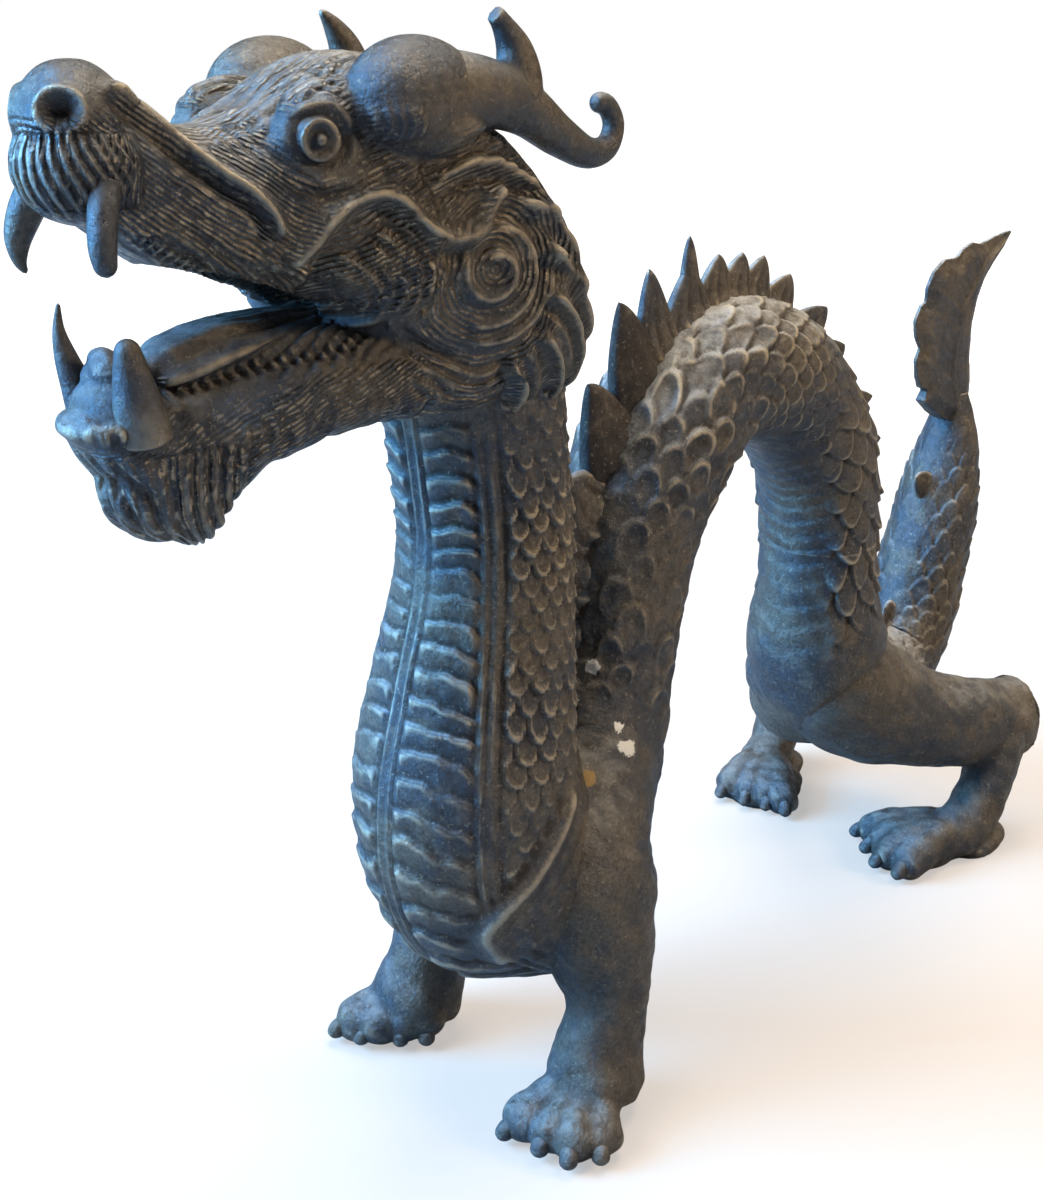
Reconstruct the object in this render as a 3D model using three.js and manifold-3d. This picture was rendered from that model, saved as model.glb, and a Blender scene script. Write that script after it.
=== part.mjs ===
// A bronze dragon, cast in one piece, that stands on its own four feet.
//
// The animal is one long round body on a winding centre line: down the neck, round the chest,
// up the first column, over the arch, down the second column, round the hips and up into the
// tail. The head, horns, legs, back fins and tail blade are joined onto it, so the whole is one
// closed solid. Units are millimetres. The dragon looks along -X, +Z is up, and y = 0 is its
// plane of symmetry. The origin is on the ground under the middle of the casting.

import * as THREE from 'three';
import { mergeVertices } from 'three/addons/utils/BufferGeometryUtils.js';
import Module from 'manifold-3d';

const wasm = await Module();
wasm.setup();

// ---------------------------------------------------------------- driving dimensions

// The body's centre line: [x, z, radius], from the nape to the root of the tail blade.
const BODY_LINE = [
  [-90, 236, 22], [-88, 214, 22.5], [-85, 192, 22], [-83, 170, 22], [-84, 150, 23.6],
  [-87.5, 128, 26.5], [-91, 104, 29.5], [-91, 84, 29], [-84, 67, 27], [-67, 57, 23.5],
  [-50, 62, 21.5], [-43, 77, 21], [-38, 96, 21], [-34, 116, 21], [-30, 137, 21],
  [-22, 159, 21.5], [-7, 180, 22], [14, 192, 22.5], [38, 189, 22], [60, 176, 21],
  [76, 155, 20], [82.5, 130, 19.7], [83, 110, 19.8], [86, 90, 20.5], [95, 72, 20.5],
  [112, 61, 20], [131, 58, 19], [147, 63, 18], [157, 76, 17.5], [163, 92, 17],
  [168, 108, 16.3], [173, 124, 14.8], [176, 138, 12], [176.5, 150, 8.5], [176.5, 160, 5],
];
const NECK_END = 175; // length of body line that is neck, where the rows are finer
const NECK_ROW = 7.6; // half of a belly plate, which is also half of a neck scale
const BODY_ROW = 10.2; // half of a body scale
const SCALES_ROUND = 9; // scales round the body, each two facets wide
const SCALE_RISE = 1.5; // a scale's rim above the hollow beside it
const PLATE_RISE = 2.0; // a belly plate's lower edge above the groove under it
const PLATE_HALF_ANGLE = 0.95; // half the width of the plated belly, in radians
const TIGHTEST_FOLD = 0.8; // the inside of a bend stays this share of the bend radius away

// The skull and muzzle: [x, top z, bottom z, half width], from the back of the mane forwards.
const SKULL = [
  [-66, 224, 207, 7], [-68.5, 232, 204, 14], [-73, 239, 203, 21], [-80, 248, 202, 27],
  [-90, 260, 202, 31], [-102, 270, 202, 32.5], [-116, 279, 204, 31], [-130, 281, 216, 28],
  [-141, 277, 230, 25], [-151, 271.5, 233.5, 21], [-162, 268, 237, 16.5], [-172, 269, 241, 13],
  [-181, 273, 246, 11], [-190, 274, 252, 10], [-195, 270, 256, 7],
];
// The lower jaw: the same four measures, from the throat forwards.
const JAW = [
  [-92, 228, 204, 25], [-108, 229, 203, 28], [-122, 229.5, 204.5, 26], [-136, 229, 205, 23],
  [-148, 227.5, 203, 20], [-158, 225.5, 200, 17.5], [-166, 223, 193, 15], [-171, 221.5, 186, 13.5],
  [-177, 219.5, 189, 12.5], [-185, 218, 198, 11], [-190.5, 217.5, 205, 9], [-194, 217, 211, 5],
];
const NOSE_BALL = { at: [-188, 0, 270], radii: [10, 10.3, 9.8] };
const MOUSTACHE = { at: [-188.5, 0, 262], radii: [12.5, 13.5, 11] };
const HEAD_SIDES = 14;
const HEAD_SQUARENESS = 2.3; // exponent of the head's rounded-square sections

const NOSTRIL = { at: [-193, 7.5, 271.5], radius: 3 };
const EYE = { at: [-148, 20.5, 265.5], radius: 5 };
const HORN_BOSS = { at: [-125, 22, 272], radii: [16, 11, 12] };
// Each horn forks: [x, y, z, radius] along the beam and along the upright prong.
const HORN_BEAM = [
  [-120, 23, 274, 9], [-108, 25.5, 273, 6.5], [-97, 26, 270.5, 5.2], [-86, 26.5, 264, 4.2],
  [-75, 27, 260, 3.2], [-69.5, 27, 263, 2.7], [-70, 26.5, 269.5, 2.4], [-75.5, 26, 271.5, 2.2],
];
const HORN_PRONG = [
  [-99, 26, 270, 5.5], [-98.5, 26, 277, 4.8], [-101, 26, 284, 3.2], [-107.5, 25.8, 290, 0.9],
];
// Fangs: [x, y, z] at the root and the tip, then the root radius.
const FANGS = [
  { root: [-190, 9.5, 257], tip: [-193.5, 13.3, 242.5], radius: 3.2 },
  { root: [-186.5, 9, 216], tip: [-188.5, 10.4, 234], radius: 3.4 },
];
const LOWER_TOOTH_LUMP = { at: [-187, 0, 221], radii: [4, 6, 6.5] };
const TONGUE = { at: [-150, 0, 227], radii: [31, 11, 6.5] };

// Raised locks on the cheek and mane: side-view points [x, z], laid on the skin.
const LIP_SCROLL = [
  [-187, 276], [-178, 271], [-172, 262], [-166, 259], [-159, 252], [-155, 246], [-151, 246],
  [-147, 251], [-141, 255], [-135, 254], [-128, 249], [-121, 246], [-113, 250], [-108, 256],
];
const MANE_SPIRAL = { at: [-108, 237], outer: 11.5, inner: 2, turns: 1.75 };
const MANE_LOCKS = [
  [[-93, 253], [-84, 246], [-77, 236]],
  [[-95, 241], [-86, 234], [-76, 226]],
  [[-96, 229], [-88, 223], [-77, 216]],
  [[-122, 230], [-108, 220], [-98, 209]],
];
const LOCK_RADIUS = 2.1;
const SCROLL_RADIUS = 2.2;

// Front leg: [x, y, z, radius] down to the ankle. The feet are not quite alike: each side gives
// how far forward the foot stands and its four toe tips [x, y] on the ground.
const FRONT_LEG = [
  [-78, 14, 92, 17], [-72, 24, 78, 16.5], [-68, 29, 62, 14.5], [-67, 30.5, 46, 12.8],
  [-67.5, 31, 31, 11.6], [-69.5, 31.5, 18, 11.4], [-72, 32, 8, 12.4], [-74, 32, 0, 13.5],
];
const FRONT_FEET = {
  right: { forward: 6, tips: [[-87.9, 20.9], [-93.6, 26.5], [-101.1, 36.2], [-104, 44.6]] },
  left: { forward: 0, tips: [[-102.6, 23.2], [-100.9, 34.9], [-99.2, 44], [-91.9, 49.5]] },
};
// Hind leg: the thigh runs back to a square-cut hock; the shin drops from it to the foot.
// The fifth number is the height of the section over its width.
const HIND_LEG = [
  [94, 6, 64, 19, 1], [103, 15, 57, 17.5, 1.1], [122, 27, 51, 14.5, 1.2],
  [145, 38, 45.5, 12.3, 1.28], [166, 42.5, 42, 12.3, 1.25],
];
const SHIN = [
  [158, 44, 44, 10.5], [149, 45, 32, 9.6], [141, 45, 20, 8.6], [135, 44.5, 11, 9.4],
  [131, 43, 4, 11], [129, 42, 0, 12],
];
const HIND_FEET = {
  right: { tips: [[102.7, 16.1], [101.5, 24.5], [99.1, 33.2], [98.1, 44]] },
  left: { tips: [[107.3, 10.8], [98.8, 19.9], [91.8, 27.9], [90.1, 38.2]] },
};
const FRONT_TOE_ROOT = [-74, 32, 11];
const HIND_TOE_ROOT = [130, 42, 8];
const HEEL = { root: [112, 40, 3], tip: [154, 53, 2.5], radius: 10 };
const TOE_RADIUS = 5.2;
const TOE_TIP_RADIUS = 2;
const SOLE_DEPTH = 40; // height of the block that cuts the soles flat, below the ground

// Back fins, in groups along the body line: where the first and last stand, and their size.
const FIN_THICKNESS = 4.2;
const FIN_SINK = 4; // how far a fin's root lies inside the body
const FIN_LEAN = 0.45; // the tip's shift towards the tail, as a share of the height
const FIN_GROUPS = [
  { from: 24, to: 136, count: 8, height: 5, length: 14 }, // nape and back of the neck
  { from: 234, to: 314, count: 7, height: 9, length: 12 }, // up the first column
  { from: 327, to: 352, count: 3, height: 19, length: 14 }, // the tall flames before the arch
  { from: 365, to: 403, count: 4, height: 11.5, length: 12 }, // top of the arch
  { from: 416, to: 466, count: 5, height: 9, length: 11 }, // back of the arch
  { from: 480, to: 480, count: 1, height: 13, length: 11 }, // the long hook above the hips
  { from: 496, to: 590, count: 7, height: 5.5, length: 11 }, // second column and hips
  { from: 606, to: 654, count: 4, height: 6.5, length: 10 }, // tail
];

// The tail blade: its outline in the plane y = 0, as [x, z].
const TAIL_BLADE = [
  [170, 152], [158, 157], [150, 165], [151, 170], [143, 175], [139, 184], [142, 187],
  [137, 194], [139, 203], [147, 205], [152, 211], [163, 215], [180, 218], [211, 216],
  [199, 206], [190, 194], [185, 180], [186, 168], [183, 154],
];
const BLADE_THICKNESS = 5;

// The flame-shaped tuft on each side of the chest, in side view: [x, z].
const CHEST_TUFT = [
  [[-98, 58], [-92, 74], [-78, 94]],
  [[-108, 62], [-104, 72], [-94, 84]],
  [[-88, 50], [-82, 62], [-72, 74]],
];
const TUFT_RADIUS = 6;

// ---------------------------------------------------------------- helpers

const v3 = (x, y, z) => new THREE.Vector3(x, y, z);

// A closed body through rings of points, with a fan at each end, the last one round the point
// tip where that is given. flip(i, j) chooses which diagonal splits the facet between ring i
// and ring i + 1.
function loft(rings, { tip = null, flip = () => false } = {}) {
  const sides = rings[0].length;
  const points = rings.flat();
  const faces = [];
  for (let i = 0; i < rings.length - 1; i++) {
    for (let j = 0; j < sides; j++) {
      const a = i * sides + j;
      const b = i * sides + ((j + 1) % sides);
      const c = b + sides;
      const d = a + sides;
      if (flip(i, j)) faces.push([a, b, d], [b, c, d]);
      else faces.push([a, b, c], [a, c, d]);
    }
  }
  for (const [ring, turn] of [[0, true], [rings.length - 1, false]]) {
    const middle = v3(0, 0, 0);
    rings[ring].forEach((p) => middle.addScaledVector(p, 1 / sides));
    points.push(tip && ring > 0 ? tip : middle);
    for (let j = 0; j < sides; j++) {
      const a = ring * sides + j;
      const b = ring * sides + ((j + 1) % sides);
      faces.push(turn ? [points.length - 1, b, a] : [points.length - 1, a, b]);
    }
  }
  return outward(points, faces);
}

// Points and faces as a geometry whose faces point out, whichever way they were wound.
function outward(points, faces) {
  let volume = 0;
  for (const [a, b, c] of faces) {
    volume += points[a].dot(v3(0, 0, 0).crossVectors(points[b], points[c]));
  }
  const geometry = new THREE.BufferGeometry();
  geometry.setAttribute('position', new THREE.Float32BufferAttribute(
    points.flatMap((p) => [p.x, p.y, p.z]), 3));
  geometry.setIndex(faces.flatMap(([a, b, c]) => (volume < 0 ? [a, c, b] : [a, b, c])));
  return geometry;
}

// A tube along points [x, y, z, radius, height over width], on a smooth curve, closed at its
// ends. The height is 1, a round section, where it isn't given.
function limb(stations, sides = 8, steps = 1) {
  const path = new THREE.CatmullRomCurve3(stations.map(([x, y, z]) => v3(x, y, z)));
  const radii = new THREE.CatmullRomCurve3(stations.map((s, i) => v3(i, s[3], s[4] ?? 1)));
  const count = (stations.length - 1) * steps;
  const rings = [];
  let side = null;
  for (let i = 0; i <= count; i++) {
    const t = i / count;
    const along = path.getTangent(t);
    if (!side) side = Math.abs(along.y) < 0.9 ? v3(0, 1, 0) : v3(1, 0, 0);
    side = side.clone().addScaledVector(along, -side.dot(along)).normalize();
    const up = v3(0, 0, 0).crossVectors(along, side);
    const { y: radius, z: tall } = radii.getPoint(t);
    rings.push(Array.from({ length: sides }, (_, j) => {
      const turn = (2 * Math.PI * j) / sides;
      return path.getPoint(t)
        .addScaledVector(side, radius * Math.cos(turn))
        .addScaledVector(up, radius * tall * Math.sin(turn));
    }));
  }
  return loft(rings);
}

const mirrored = (points) => points.map(([x, y, ...rest]) => [x, -y, ...rest]);

function ellipsoid([x, y, z], [rx, ry, rz], wide = 10, high = 5) {
  return new THREE.SphereGeometry(1, wide, high).scale(rx, ry, rz).translate(x, y, z);
}

// A cone-like tooth, claw or spur from a root to a tip.
function spike(root, tip, radius) {
  const middle = root.map((value, k) => value + 0.55 * (tip[k] - value));
  return limb([[...root, radius], [...middle, radius * 0.72], [...tip, radius * 0.15]], 6);
}

// A closed geometry as a solid that can be joined and cut.
function solid(geometry) {
  const plain = geometry.clone();
  plain.deleteAttribute('normal');
  plain.deleteAttribute('uv');
  const merged = mergeVertices(plain, 1e-4);
  return new wasm.Manifold(new wasm.Mesh({
    numProp: 3,
    vertProperties: new Float32Array(merged.attributes.position.array),
    triVerts: new Uint32Array(merged.index.array),
  }));
}

// ---------------------------------------------------------------- body

const bodyPath = new THREE.CatmullRomCurve3(BODY_LINE.map(([x, z]) => v3(x, 0, z)));
const bodyRadius = new THREE.CatmullRomCurve3(BODY_LINE.map(([, , r], i) => v3(i, r, 0)));
bodyPath.arcLengthDivisions = 800;
const bodyLength = bodyPath.getLength();

// The frame of the body line at a distance from the nape: centre, the way to the tail, the way
// to the back, the radius, and how strongly the line bends towards the back.
function bodyAt(distance) {
  const share = Math.min(Math.max(distance / bodyLength, 0), 1);
  const t = bodyPath.getUtoTmapping(share);
  const along = bodyPath.getTangent(t);
  const back = v3(-along.z, 0, along.x);
  const reach = 0.004;
  const before = bodyPath.getTangentAt(Math.max(share - reach, 0));
  const after = bodyPath.getTangentAt(Math.min(share + reach, 1));
  const bend = after.sub(before).dot(back) / (2 * reach * bodyLength);
  return { centre: bodyPath.getPoint(t), along, back, radius: bodyRadius.getPoint(t).y, bend };
}

// One row of scales or plates is two rings, one hollow and one raised, and the raised points of
// neighbouring rings are staggered, so that each stands as the tip of its own scale.
function body() {
  const sides = 2 * SCALES_ROUND;
  const rings = [];
  let distance = 0;
  for (let row = 0; distance < bodyLength; row++) {
    const { centre, along, back, radius, bend } = bodyAt(distance);
    const squeeze = bend * radius > TIGHTEST_FOLD ? TIGHTEST_FOLD / (bend * radius) : 1;
    const fade = Math.min(1, distance / 12, (bodyLength - distance) / 40);
    rings.push(Array.from({ length: sides }, (_, j) => {
      const turn = (2 * Math.PI * j) / sides;
      const fromBelly = Math.abs(turn - Math.PI);
      const onPlates = distance < NECK_END + 60 && fromBelly < PLATE_HALF_ANGLE;
      const raised = onPlates ? row % 2 === 0 : (row + j) % 2 === 0;
      const rise = (onPlates ? PLATE_RISE : SCALE_RISE) * (raised ? 0.5 : -0.5) * fade;
      const towardsBack = Math.max(Math.cos(turn), 0);
      const reach = (radius + rise) * (1 - (1 - squeeze) * towardsBack);
      return centre.clone()
        .addScaledVector(back, reach * Math.cos(turn))
        .addScaledVector(v3(0, 1, 0), (radius + rise) * Math.sin(turn))
        .addScaledVector(along, raised ? 1 : 0);
    }));
    distance += distance < NECK_END + 60 ? NECK_ROW : BODY_ROW;
  }
  return loft(rings, { flip: (i, j) => (i + j) % 2 === 0 });
}

// A fin stands on the back in the plane of symmetry: a four-sided flame with a swollen middle.
function fin(distance, length, height) {
  const { centre, along, back, radius } = bodyAt(distance);
  const level = (rise, half, thick, shift) => [[-1, 0], [0, 1], [1, 0], [0, -1]].map(([a, b]) =>
    centre.clone()
      .addScaledVector(back, radius + rise)
      .addScaledVector(along, shift + half * a)
      .addScaledVector(v3(0, 1, 0), thick * b));
  const tip = centre.clone()
    .addScaledVector(back, radius + height)
    .addScaledVector(along, height * FIN_LEAN);
  return loft([
    level(-FIN_SINK, length * 0.5, FIN_THICKNESS * 0.5, 0),
    level(height * 0.4, length * 0.36, FIN_THICKNESS * 0.45, height * FIN_LEAN * 0.15),
  ], { tip });
}

function fins() {
  return FIN_GROUPS.flatMap(({ from, to, count, height, length }) =>
    Array.from({ length: count }, (_, i) => {
      const share = count > 1 ? i / (count - 1) : 0;
      return fin(from + share * (to - from), length, height);
    }));
}

function tailBlade() {
  const outline = new THREE.Shape(TAIL_BLADE.map(([x, z]) => new THREE.Vector2(x, z)));
  return new THREE.ExtrudeGeometry(outline, { depth: BLADE_THICKNESS, bevelEnabled: false })
    .rotateX(Math.PI / 2)
    .translate(0, BLADE_THICKNESS / 2, 0);
}

// ---------------------------------------------------------------- head

// A lofted half of the head from its table of stations.
function headLoft(stations) {
  return loft(stations.map(([x, top, bottom, half]) => {
    const middle = (top + bottom) / 2;
    return Array.from({ length: HEAD_SIDES }, (_, j) => {
      const turn = (2 * Math.PI * (j + 0.5)) / HEAD_SIDES;
      const shape = (value) => Math.sign(value) * Math.abs(value) ** (2 / HEAD_SQUARENESS);
      return v3(x, half * shape(Math.cos(turn)), middle + (top - middle) * shape(Math.sin(turn)));
    });
  }));
}

// Half width of the skull at a point of its side view.
function skullSide(x, z) {
  const after = SKULL.findIndex((station) => station[0] <= x);
  const [a, b] = [SKULL[Math.max(after - 1, 0)], SKULL[Math.max(after, 1)]];
  const share = (x - a[0]) / (b[0] - a[0]);
  const [, top, bottom, half] = a.map((value, k) => value + share * (b[k] - value));
  const height = Math.min(Math.abs((2 * z - top - bottom) / (top - bottom)), 0.97);
  return half * (1 - height ** HEAD_SQUARENESS) ** (1 / HEAD_SQUARENESS);
}

// A raised lock that lies on one side of the head, thickest in its middle.
function lock(points, radius, side) {
  const last = points.length - 1;
  return limb(points.map(([x, z], i) => {
    const swell = i === 0 || i === last ? 0.45 : 1;
    return [x, side * (skullSide(x, z) - radius * 0.35), z, radius * swell];
  }), 4);
}

function maneSpiral(side) {
  const { at: [x, z], outer, inner, turns } = MANE_SPIRAL;
  const steps = 10;
  return lock(Array.from({ length: steps + 1 }, (_, i) => {
    const share = i / steps;
    const turn = 2 * Math.PI * turns * share + 2.4;
    const reach = outer + (inner - outer) * share;
    return [x + reach * Math.cos(turn), z + reach * Math.sin(turn)];
  }), LOCK_RADIUS * 0.9, side);
}

function headPieces() {
  const pieces = [headLoft(SKULL), headLoft(JAW)];
  pieces.push(ellipsoid(NOSE_BALL.at, NOSE_BALL.radii), ellipsoid(MOUSTACHE.at, MOUSTACHE.radii));
  pieces.push(ellipsoid(TONGUE.at, TONGUE.radii));
  pieces.push(ellipsoid(LOWER_TOOTH_LUMP.at, LOWER_TOOTH_LUMP.radii));
  for (const side of [1, -1]) {
    const place = ([x, y, z]) => [x, side * y, z];
    const run = (points) => (side > 0 ? points : mirrored(points));
    pieces.push(ellipsoid(place(HORN_BOSS.at), HORN_BOSS.radii));
    pieces.push(limb(run(HORN_BEAM), 7), limb(run(HORN_PRONG), 7));
    pieces.push(ellipsoid(place(EYE.at), [EYE.radius, EYE.radius, EYE.radius], 8, 5));
    FANGS.forEach(({ root, tip, radius }) => pieces.push(spike(place(root), place(tip), radius)));
    pieces.push(lock(LIP_SCROLL, SCROLL_RADIUS, side), maneSpiral(side));
    MANE_LOCKS.forEach((points) => pieces.push(lock(points, LOCK_RADIUS * 1.3, side)));
  }
  return pieces;
}

function nostrils() {
  return [1, -1].map((side) => {
    const [x, y, z] = NOSTRIL.at;
    const deep = 4;
    return limb([
      [x - deep, side * (y + deep), z, NOSTRIL.radius], [x + deep, side * (y - 1), z, NOSTRIL.radius],
    ]);
  });
}

// ---------------------------------------------------------------- legs

function toes([x, y, z], tips, side, forward = 0) {
  return tips.map(([tipX, tipY]) => {
    const at = (share, height, radius) => [
      x - forward + share * (tipX - x + forward), side * (y + share * (tipY - y)), height, radius,
    ];
    return limb([
      at(0, z, TOE_RADIUS * 1.3), at(0.42, 8.5, TOE_RADIUS * 1.12), at(0.78, 6, TOE_RADIUS),
      at(1, 1.5, TOE_TIP_RADIUS),
    ], 6);
  });
}

function chestTuft(side) {
  return CHEST_TUFT.map((points) => {
    const last = points.length - 1;
    return limb(points.map(([x, z], i) => [
      x, side * (25.5 - 4 * Math.abs(i - 1)), z, TUFT_RADIUS * (i === last ? 0.25 : 1),
    ]), 6);
  });
}

function legPieces() {
  return [[1, 'right'], [-1, 'left']].flatMap(([side, name]) => {
    const { forward, tips } = FRONT_FEET[name];
    const ankle = FRONT_LEG.length - 4;
    const front = FRONT_LEG.map(([x, y, z, radius], i) =>
      [x - forward * Math.min(1, Math.max(0, (i - 2) / (ankle - 2))), side * y, z, radius]);
    const run = (points) => (side > 0 ? points : mirrored(points));
    const place = ([x, y, z]) => [x, side * y, z];
    return [
      limb(front, 10), limb(run(HIND_LEG), 10), limb(run(SHIN), 10), ...chestTuft(side),
      ...toes(FRONT_TOE_ROOT, tips, side, forward),
      ...toes(HIND_TOE_ROOT, HIND_FEET[name].tips, side),
      spike(place(HEEL.root), place(HEEL.tip), HEEL.radius),
    ];
  });
}

// ---------------------------------------------------------------- the casting

function casting() {
  const pieces = [body(), tailBlade(), ...fins(), ...headPieces(), ...legPieces()];
  let whole = pieces.map(solid).reduce((sum, piece) => sum.add(piece));
  for (const hollow of nostrils()) whole = whole.subtract(solid(hollow));
  const below = new THREE.BoxGeometry(600, 200, SOLE_DEPTH).translate(0, 0, -SOLE_DEPTH / 2);
  whole = whole.subtract(solid(below));
  const { vertProperties, triVerts } = whole.getMesh();
  const geometry = new THREE.BufferGeometry();
  geometry.setAttribute('position', new THREE.BufferAttribute(new Float32Array(vertProperties), 3));
  geometry.setIndex(new THREE.BufferAttribute(new Uint32Array(triVerts), 1));
  geometry.computeBoundingBox();
  const { min, max } = geometry.boundingBox;
  return geometry.translate(-(min.x + max.x) / 2, 0, 0);
}

const bronze = new THREE.MeshStandardMaterial({
  color: 0x2b2622, roughness: 0.42, metalness: 0.85, flatShading: true,
});
const dragon = new THREE.Mesh(casting(), bronze);
dragon.name = 'dragon';

const sculpture = new THREE.Group();
sculpture.add(dragon);

export default sculpture;
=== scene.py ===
# %% [markdown]
# # A cast bronze dragon
# The real object is one bronze casting, about 41 cm long: a long scaled body that winds up and
# down, a fierce open-mouthed head, four clawed legs and a feathered tail tip. A sculptor models
# such an animal in wax, presses the scales and hair in with small tools, and casts it. This file
# follows the same order: first the masses, then the relief, then the dark patina.
# Lengths in the tables are in millimetres, because the casting is small; MM turns them into
# Blender's metres. The dragon looks along -X and y = 0 is its plane of symmetry.

import math

import bpy
import numpy as np
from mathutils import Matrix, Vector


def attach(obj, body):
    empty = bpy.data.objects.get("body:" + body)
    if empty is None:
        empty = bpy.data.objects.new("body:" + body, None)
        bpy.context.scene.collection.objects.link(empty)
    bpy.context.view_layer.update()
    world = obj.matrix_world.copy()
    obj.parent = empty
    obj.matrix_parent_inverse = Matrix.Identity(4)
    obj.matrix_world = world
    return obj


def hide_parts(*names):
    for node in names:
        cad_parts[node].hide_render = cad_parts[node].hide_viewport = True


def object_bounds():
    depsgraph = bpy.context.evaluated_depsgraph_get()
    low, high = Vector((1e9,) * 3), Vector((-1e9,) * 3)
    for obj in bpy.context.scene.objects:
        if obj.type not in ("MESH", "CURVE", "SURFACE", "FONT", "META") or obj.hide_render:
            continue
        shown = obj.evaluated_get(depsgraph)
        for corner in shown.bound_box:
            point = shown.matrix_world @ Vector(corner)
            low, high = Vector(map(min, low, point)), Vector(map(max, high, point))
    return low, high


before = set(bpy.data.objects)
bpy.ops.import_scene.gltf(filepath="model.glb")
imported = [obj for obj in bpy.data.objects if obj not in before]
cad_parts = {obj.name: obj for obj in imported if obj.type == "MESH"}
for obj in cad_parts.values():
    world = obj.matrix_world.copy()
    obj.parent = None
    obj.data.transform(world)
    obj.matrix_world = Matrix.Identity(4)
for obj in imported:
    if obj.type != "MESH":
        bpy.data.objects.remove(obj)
cad_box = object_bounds()
MM = 0.001
BLADE_TIP_X = 211.0  # the tail blade's tip in the tables below
SHIFT = cad_box[1][0] / MM - BLADE_TIP_X  # from the tables' x to the frame's x
print("the casting's box in mm:", (np.array(cad_box) / MM).round(1).tolist())

# %% [markdown]
# Small helpers come first. A piece starts as a plain primitive, and its points are then moved
# together as one array, which is how a repeated relief such as scales can be worked over a
# hundred thousand points at once. The points are read and written in the tables' millimetres.

# %% Points and the numbers stored on them


def deselect():
    bpy.ops.object.select_all(action="DESELECT")


def points_of(piece, what="co"):
    flat = np.empty(len(piece.data.vertices) * 3)
    piece.data.vertices.foreach_get(what, flat)
    return flat.reshape(-1, 3)


def set_points(piece, points):
    piece.data.vertices.foreach_set("co", np.asarray(points, float).ravel())
    piece.data.update()


def normals_of(piece):
    return points_of(piece, "normal")


def get_mm(piece):
    return points_of(piece) / MM - [SHIFT, 0, 0]


def set_mm(piece, points):
    set_points(piece, (points + [SHIFT, 0, 0]) * MM)


def store(piece, name, values):
    """Keep one number per point under a name that a material can read."""
    layer = piece.data.attributes.new(name, "FLOAT", "POINT")
    layer.data.foreach_set("value", np.asarray(values, np.float32))


# %% [markdown]
# Operators act on the selected and active object, so every helper first selects its own piece.
# A modifier is applied at once, because the next step works on the points that it leaves.

# %% Edit mode, modifiers and joining


def pick(piece):
    """Make one piece the only selected one, and the active one."""
    deselect()
    bpy.context.view_layer.objects.active = piece
    piece.select_set(True)


def edit(piece, *steps):
    """Run operators in edit mode on the whole of one piece."""
    pick(piece)
    bpy.ops.object.mode_set(mode="EDIT")
    bpy.ops.mesh.select_all(action="SELECT")
    for step in steps:
        step()
    bpy.ops.object.mode_set(mode="OBJECT")


def weld():
    bpy.ops.mesh.remove_doubles(threshold=1e-7)


def cap():
    bpy.ops.mesh.fill_holes(sides=0)


def point_out():
    bpy.ops.mesh.normals_make_consistent(inside=False)


def modify(piece, kind, **settings):
    """Add one modifier, set it and apply it."""
    pick(piece)
    modifier = piece.modifiers.new(kind.lower(), kind)
    for name, value in settings.items():
        setattr(modifier, name, value)
    bpy.ops.object.modifier_apply(modifier=modifier.name)


def join(pieces, name):
    deselect()
    for piece in pieces:
        piece.select_set(True)
    bpy.context.view_layer.objects.active = pieces[0]
    bpy.ops.object.join()
    pieces[0].name = name
    return pieces[0]


# %% [markdown]
# Every relief below is built from two simple curves: a soft step for edges and masks, and a
# round hump for ridges and grooves. A table of a few stations becomes a smooth path.

# %% Curves and smooth paths


def ramp(low, high, value):
    """0 below low, 1 above high, and a soft step between."""
    share = np.clip((np.asarray(value, float) - low) / (high - low), 0, 1)
    return share * share * (3 - 2 * share)


def hump(value, width):
    return np.exp(-((np.asarray(value, float) / width) ** 2))


def smooth_path(stations, step):
    """A smooth curve through rows of [x, y, z, more...], sampled every step mm."""
    p = np.array(stations, float)
    p = np.vstack([2 * p[0] - p[1], p, 2 * p[-1] - p[-2]])
    gaps = np.maximum(np.linalg.norm(np.diff(p[:, :3], axis=0), axis=1), 1e-6) ** 0.5
    knots = np.concatenate([[0], np.cumsum(gaps)])
    rows = []
    for i in range(1, len(p) - 2):
        t = np.linspace(knots[i], knots[i + 1], 24, endpoint=False)[:, None]
        k = knots[i - 1:i + 3]
        a = [((k[j + 1] - t) * p[i - 1 + j] + (t - k[j]) * p[i + j]) / (k[j + 1] - k[j])
             for j in range(3)]
        b = [((k[j + 2] - t) * a[j] + (t - k[j]) * a[j + 1]) / (k[j + 2] - k[j])
             for j in range(2)]
        rows.append(((k[2] - t) * b[0] + (t - k[1]) * b[1]) / (k[2] - k[1]))
    dense = np.vstack(rows + [p[-2:-1]])
    run = np.concatenate([[0], np.cumsum(np.linalg.norm(np.diff(dense[:, :3], axis=0), axis=1))])
    even = np.linspace(0, run[-1], max(int(run[-1] / step), 3) + 1)
    return even, np.stack([np.interp(even, run, column) for column in dense.T], axis=1)


def line_gap(spots, line):
    """Distance from spots to the nearest segment of a line of points."""
    line = np.array(line, float)
    best = np.full(len(spots), 1e9)
    for start, stop in zip(line[:-1], line[1:]):
        way = stop - start
        t = np.clip((spots - start) @ way / max(way @ way, 1e-9), 0, 1)
        best = np.minimum(best, np.linalg.norm(spots - start - t[:, None] * way, axis=1))
    return best


def wobble(place, seed, size):
    """A smooth uneven value of about -1 to 1 over points in space, the same on every run."""
    rng = np.random.default_rng(seed)
    total = np.zeros(len(place))
    for _ in range(7):
        total += np.sin(place @ rng.normal(0, 1.6 / size, 3) + rng.uniform(0, 6.28))
    return total / 3.2


print("a ramp from 0 to 10 mm gives", ramp(0, 10, [0, 2.5, 5, 10]).round(2))

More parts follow.
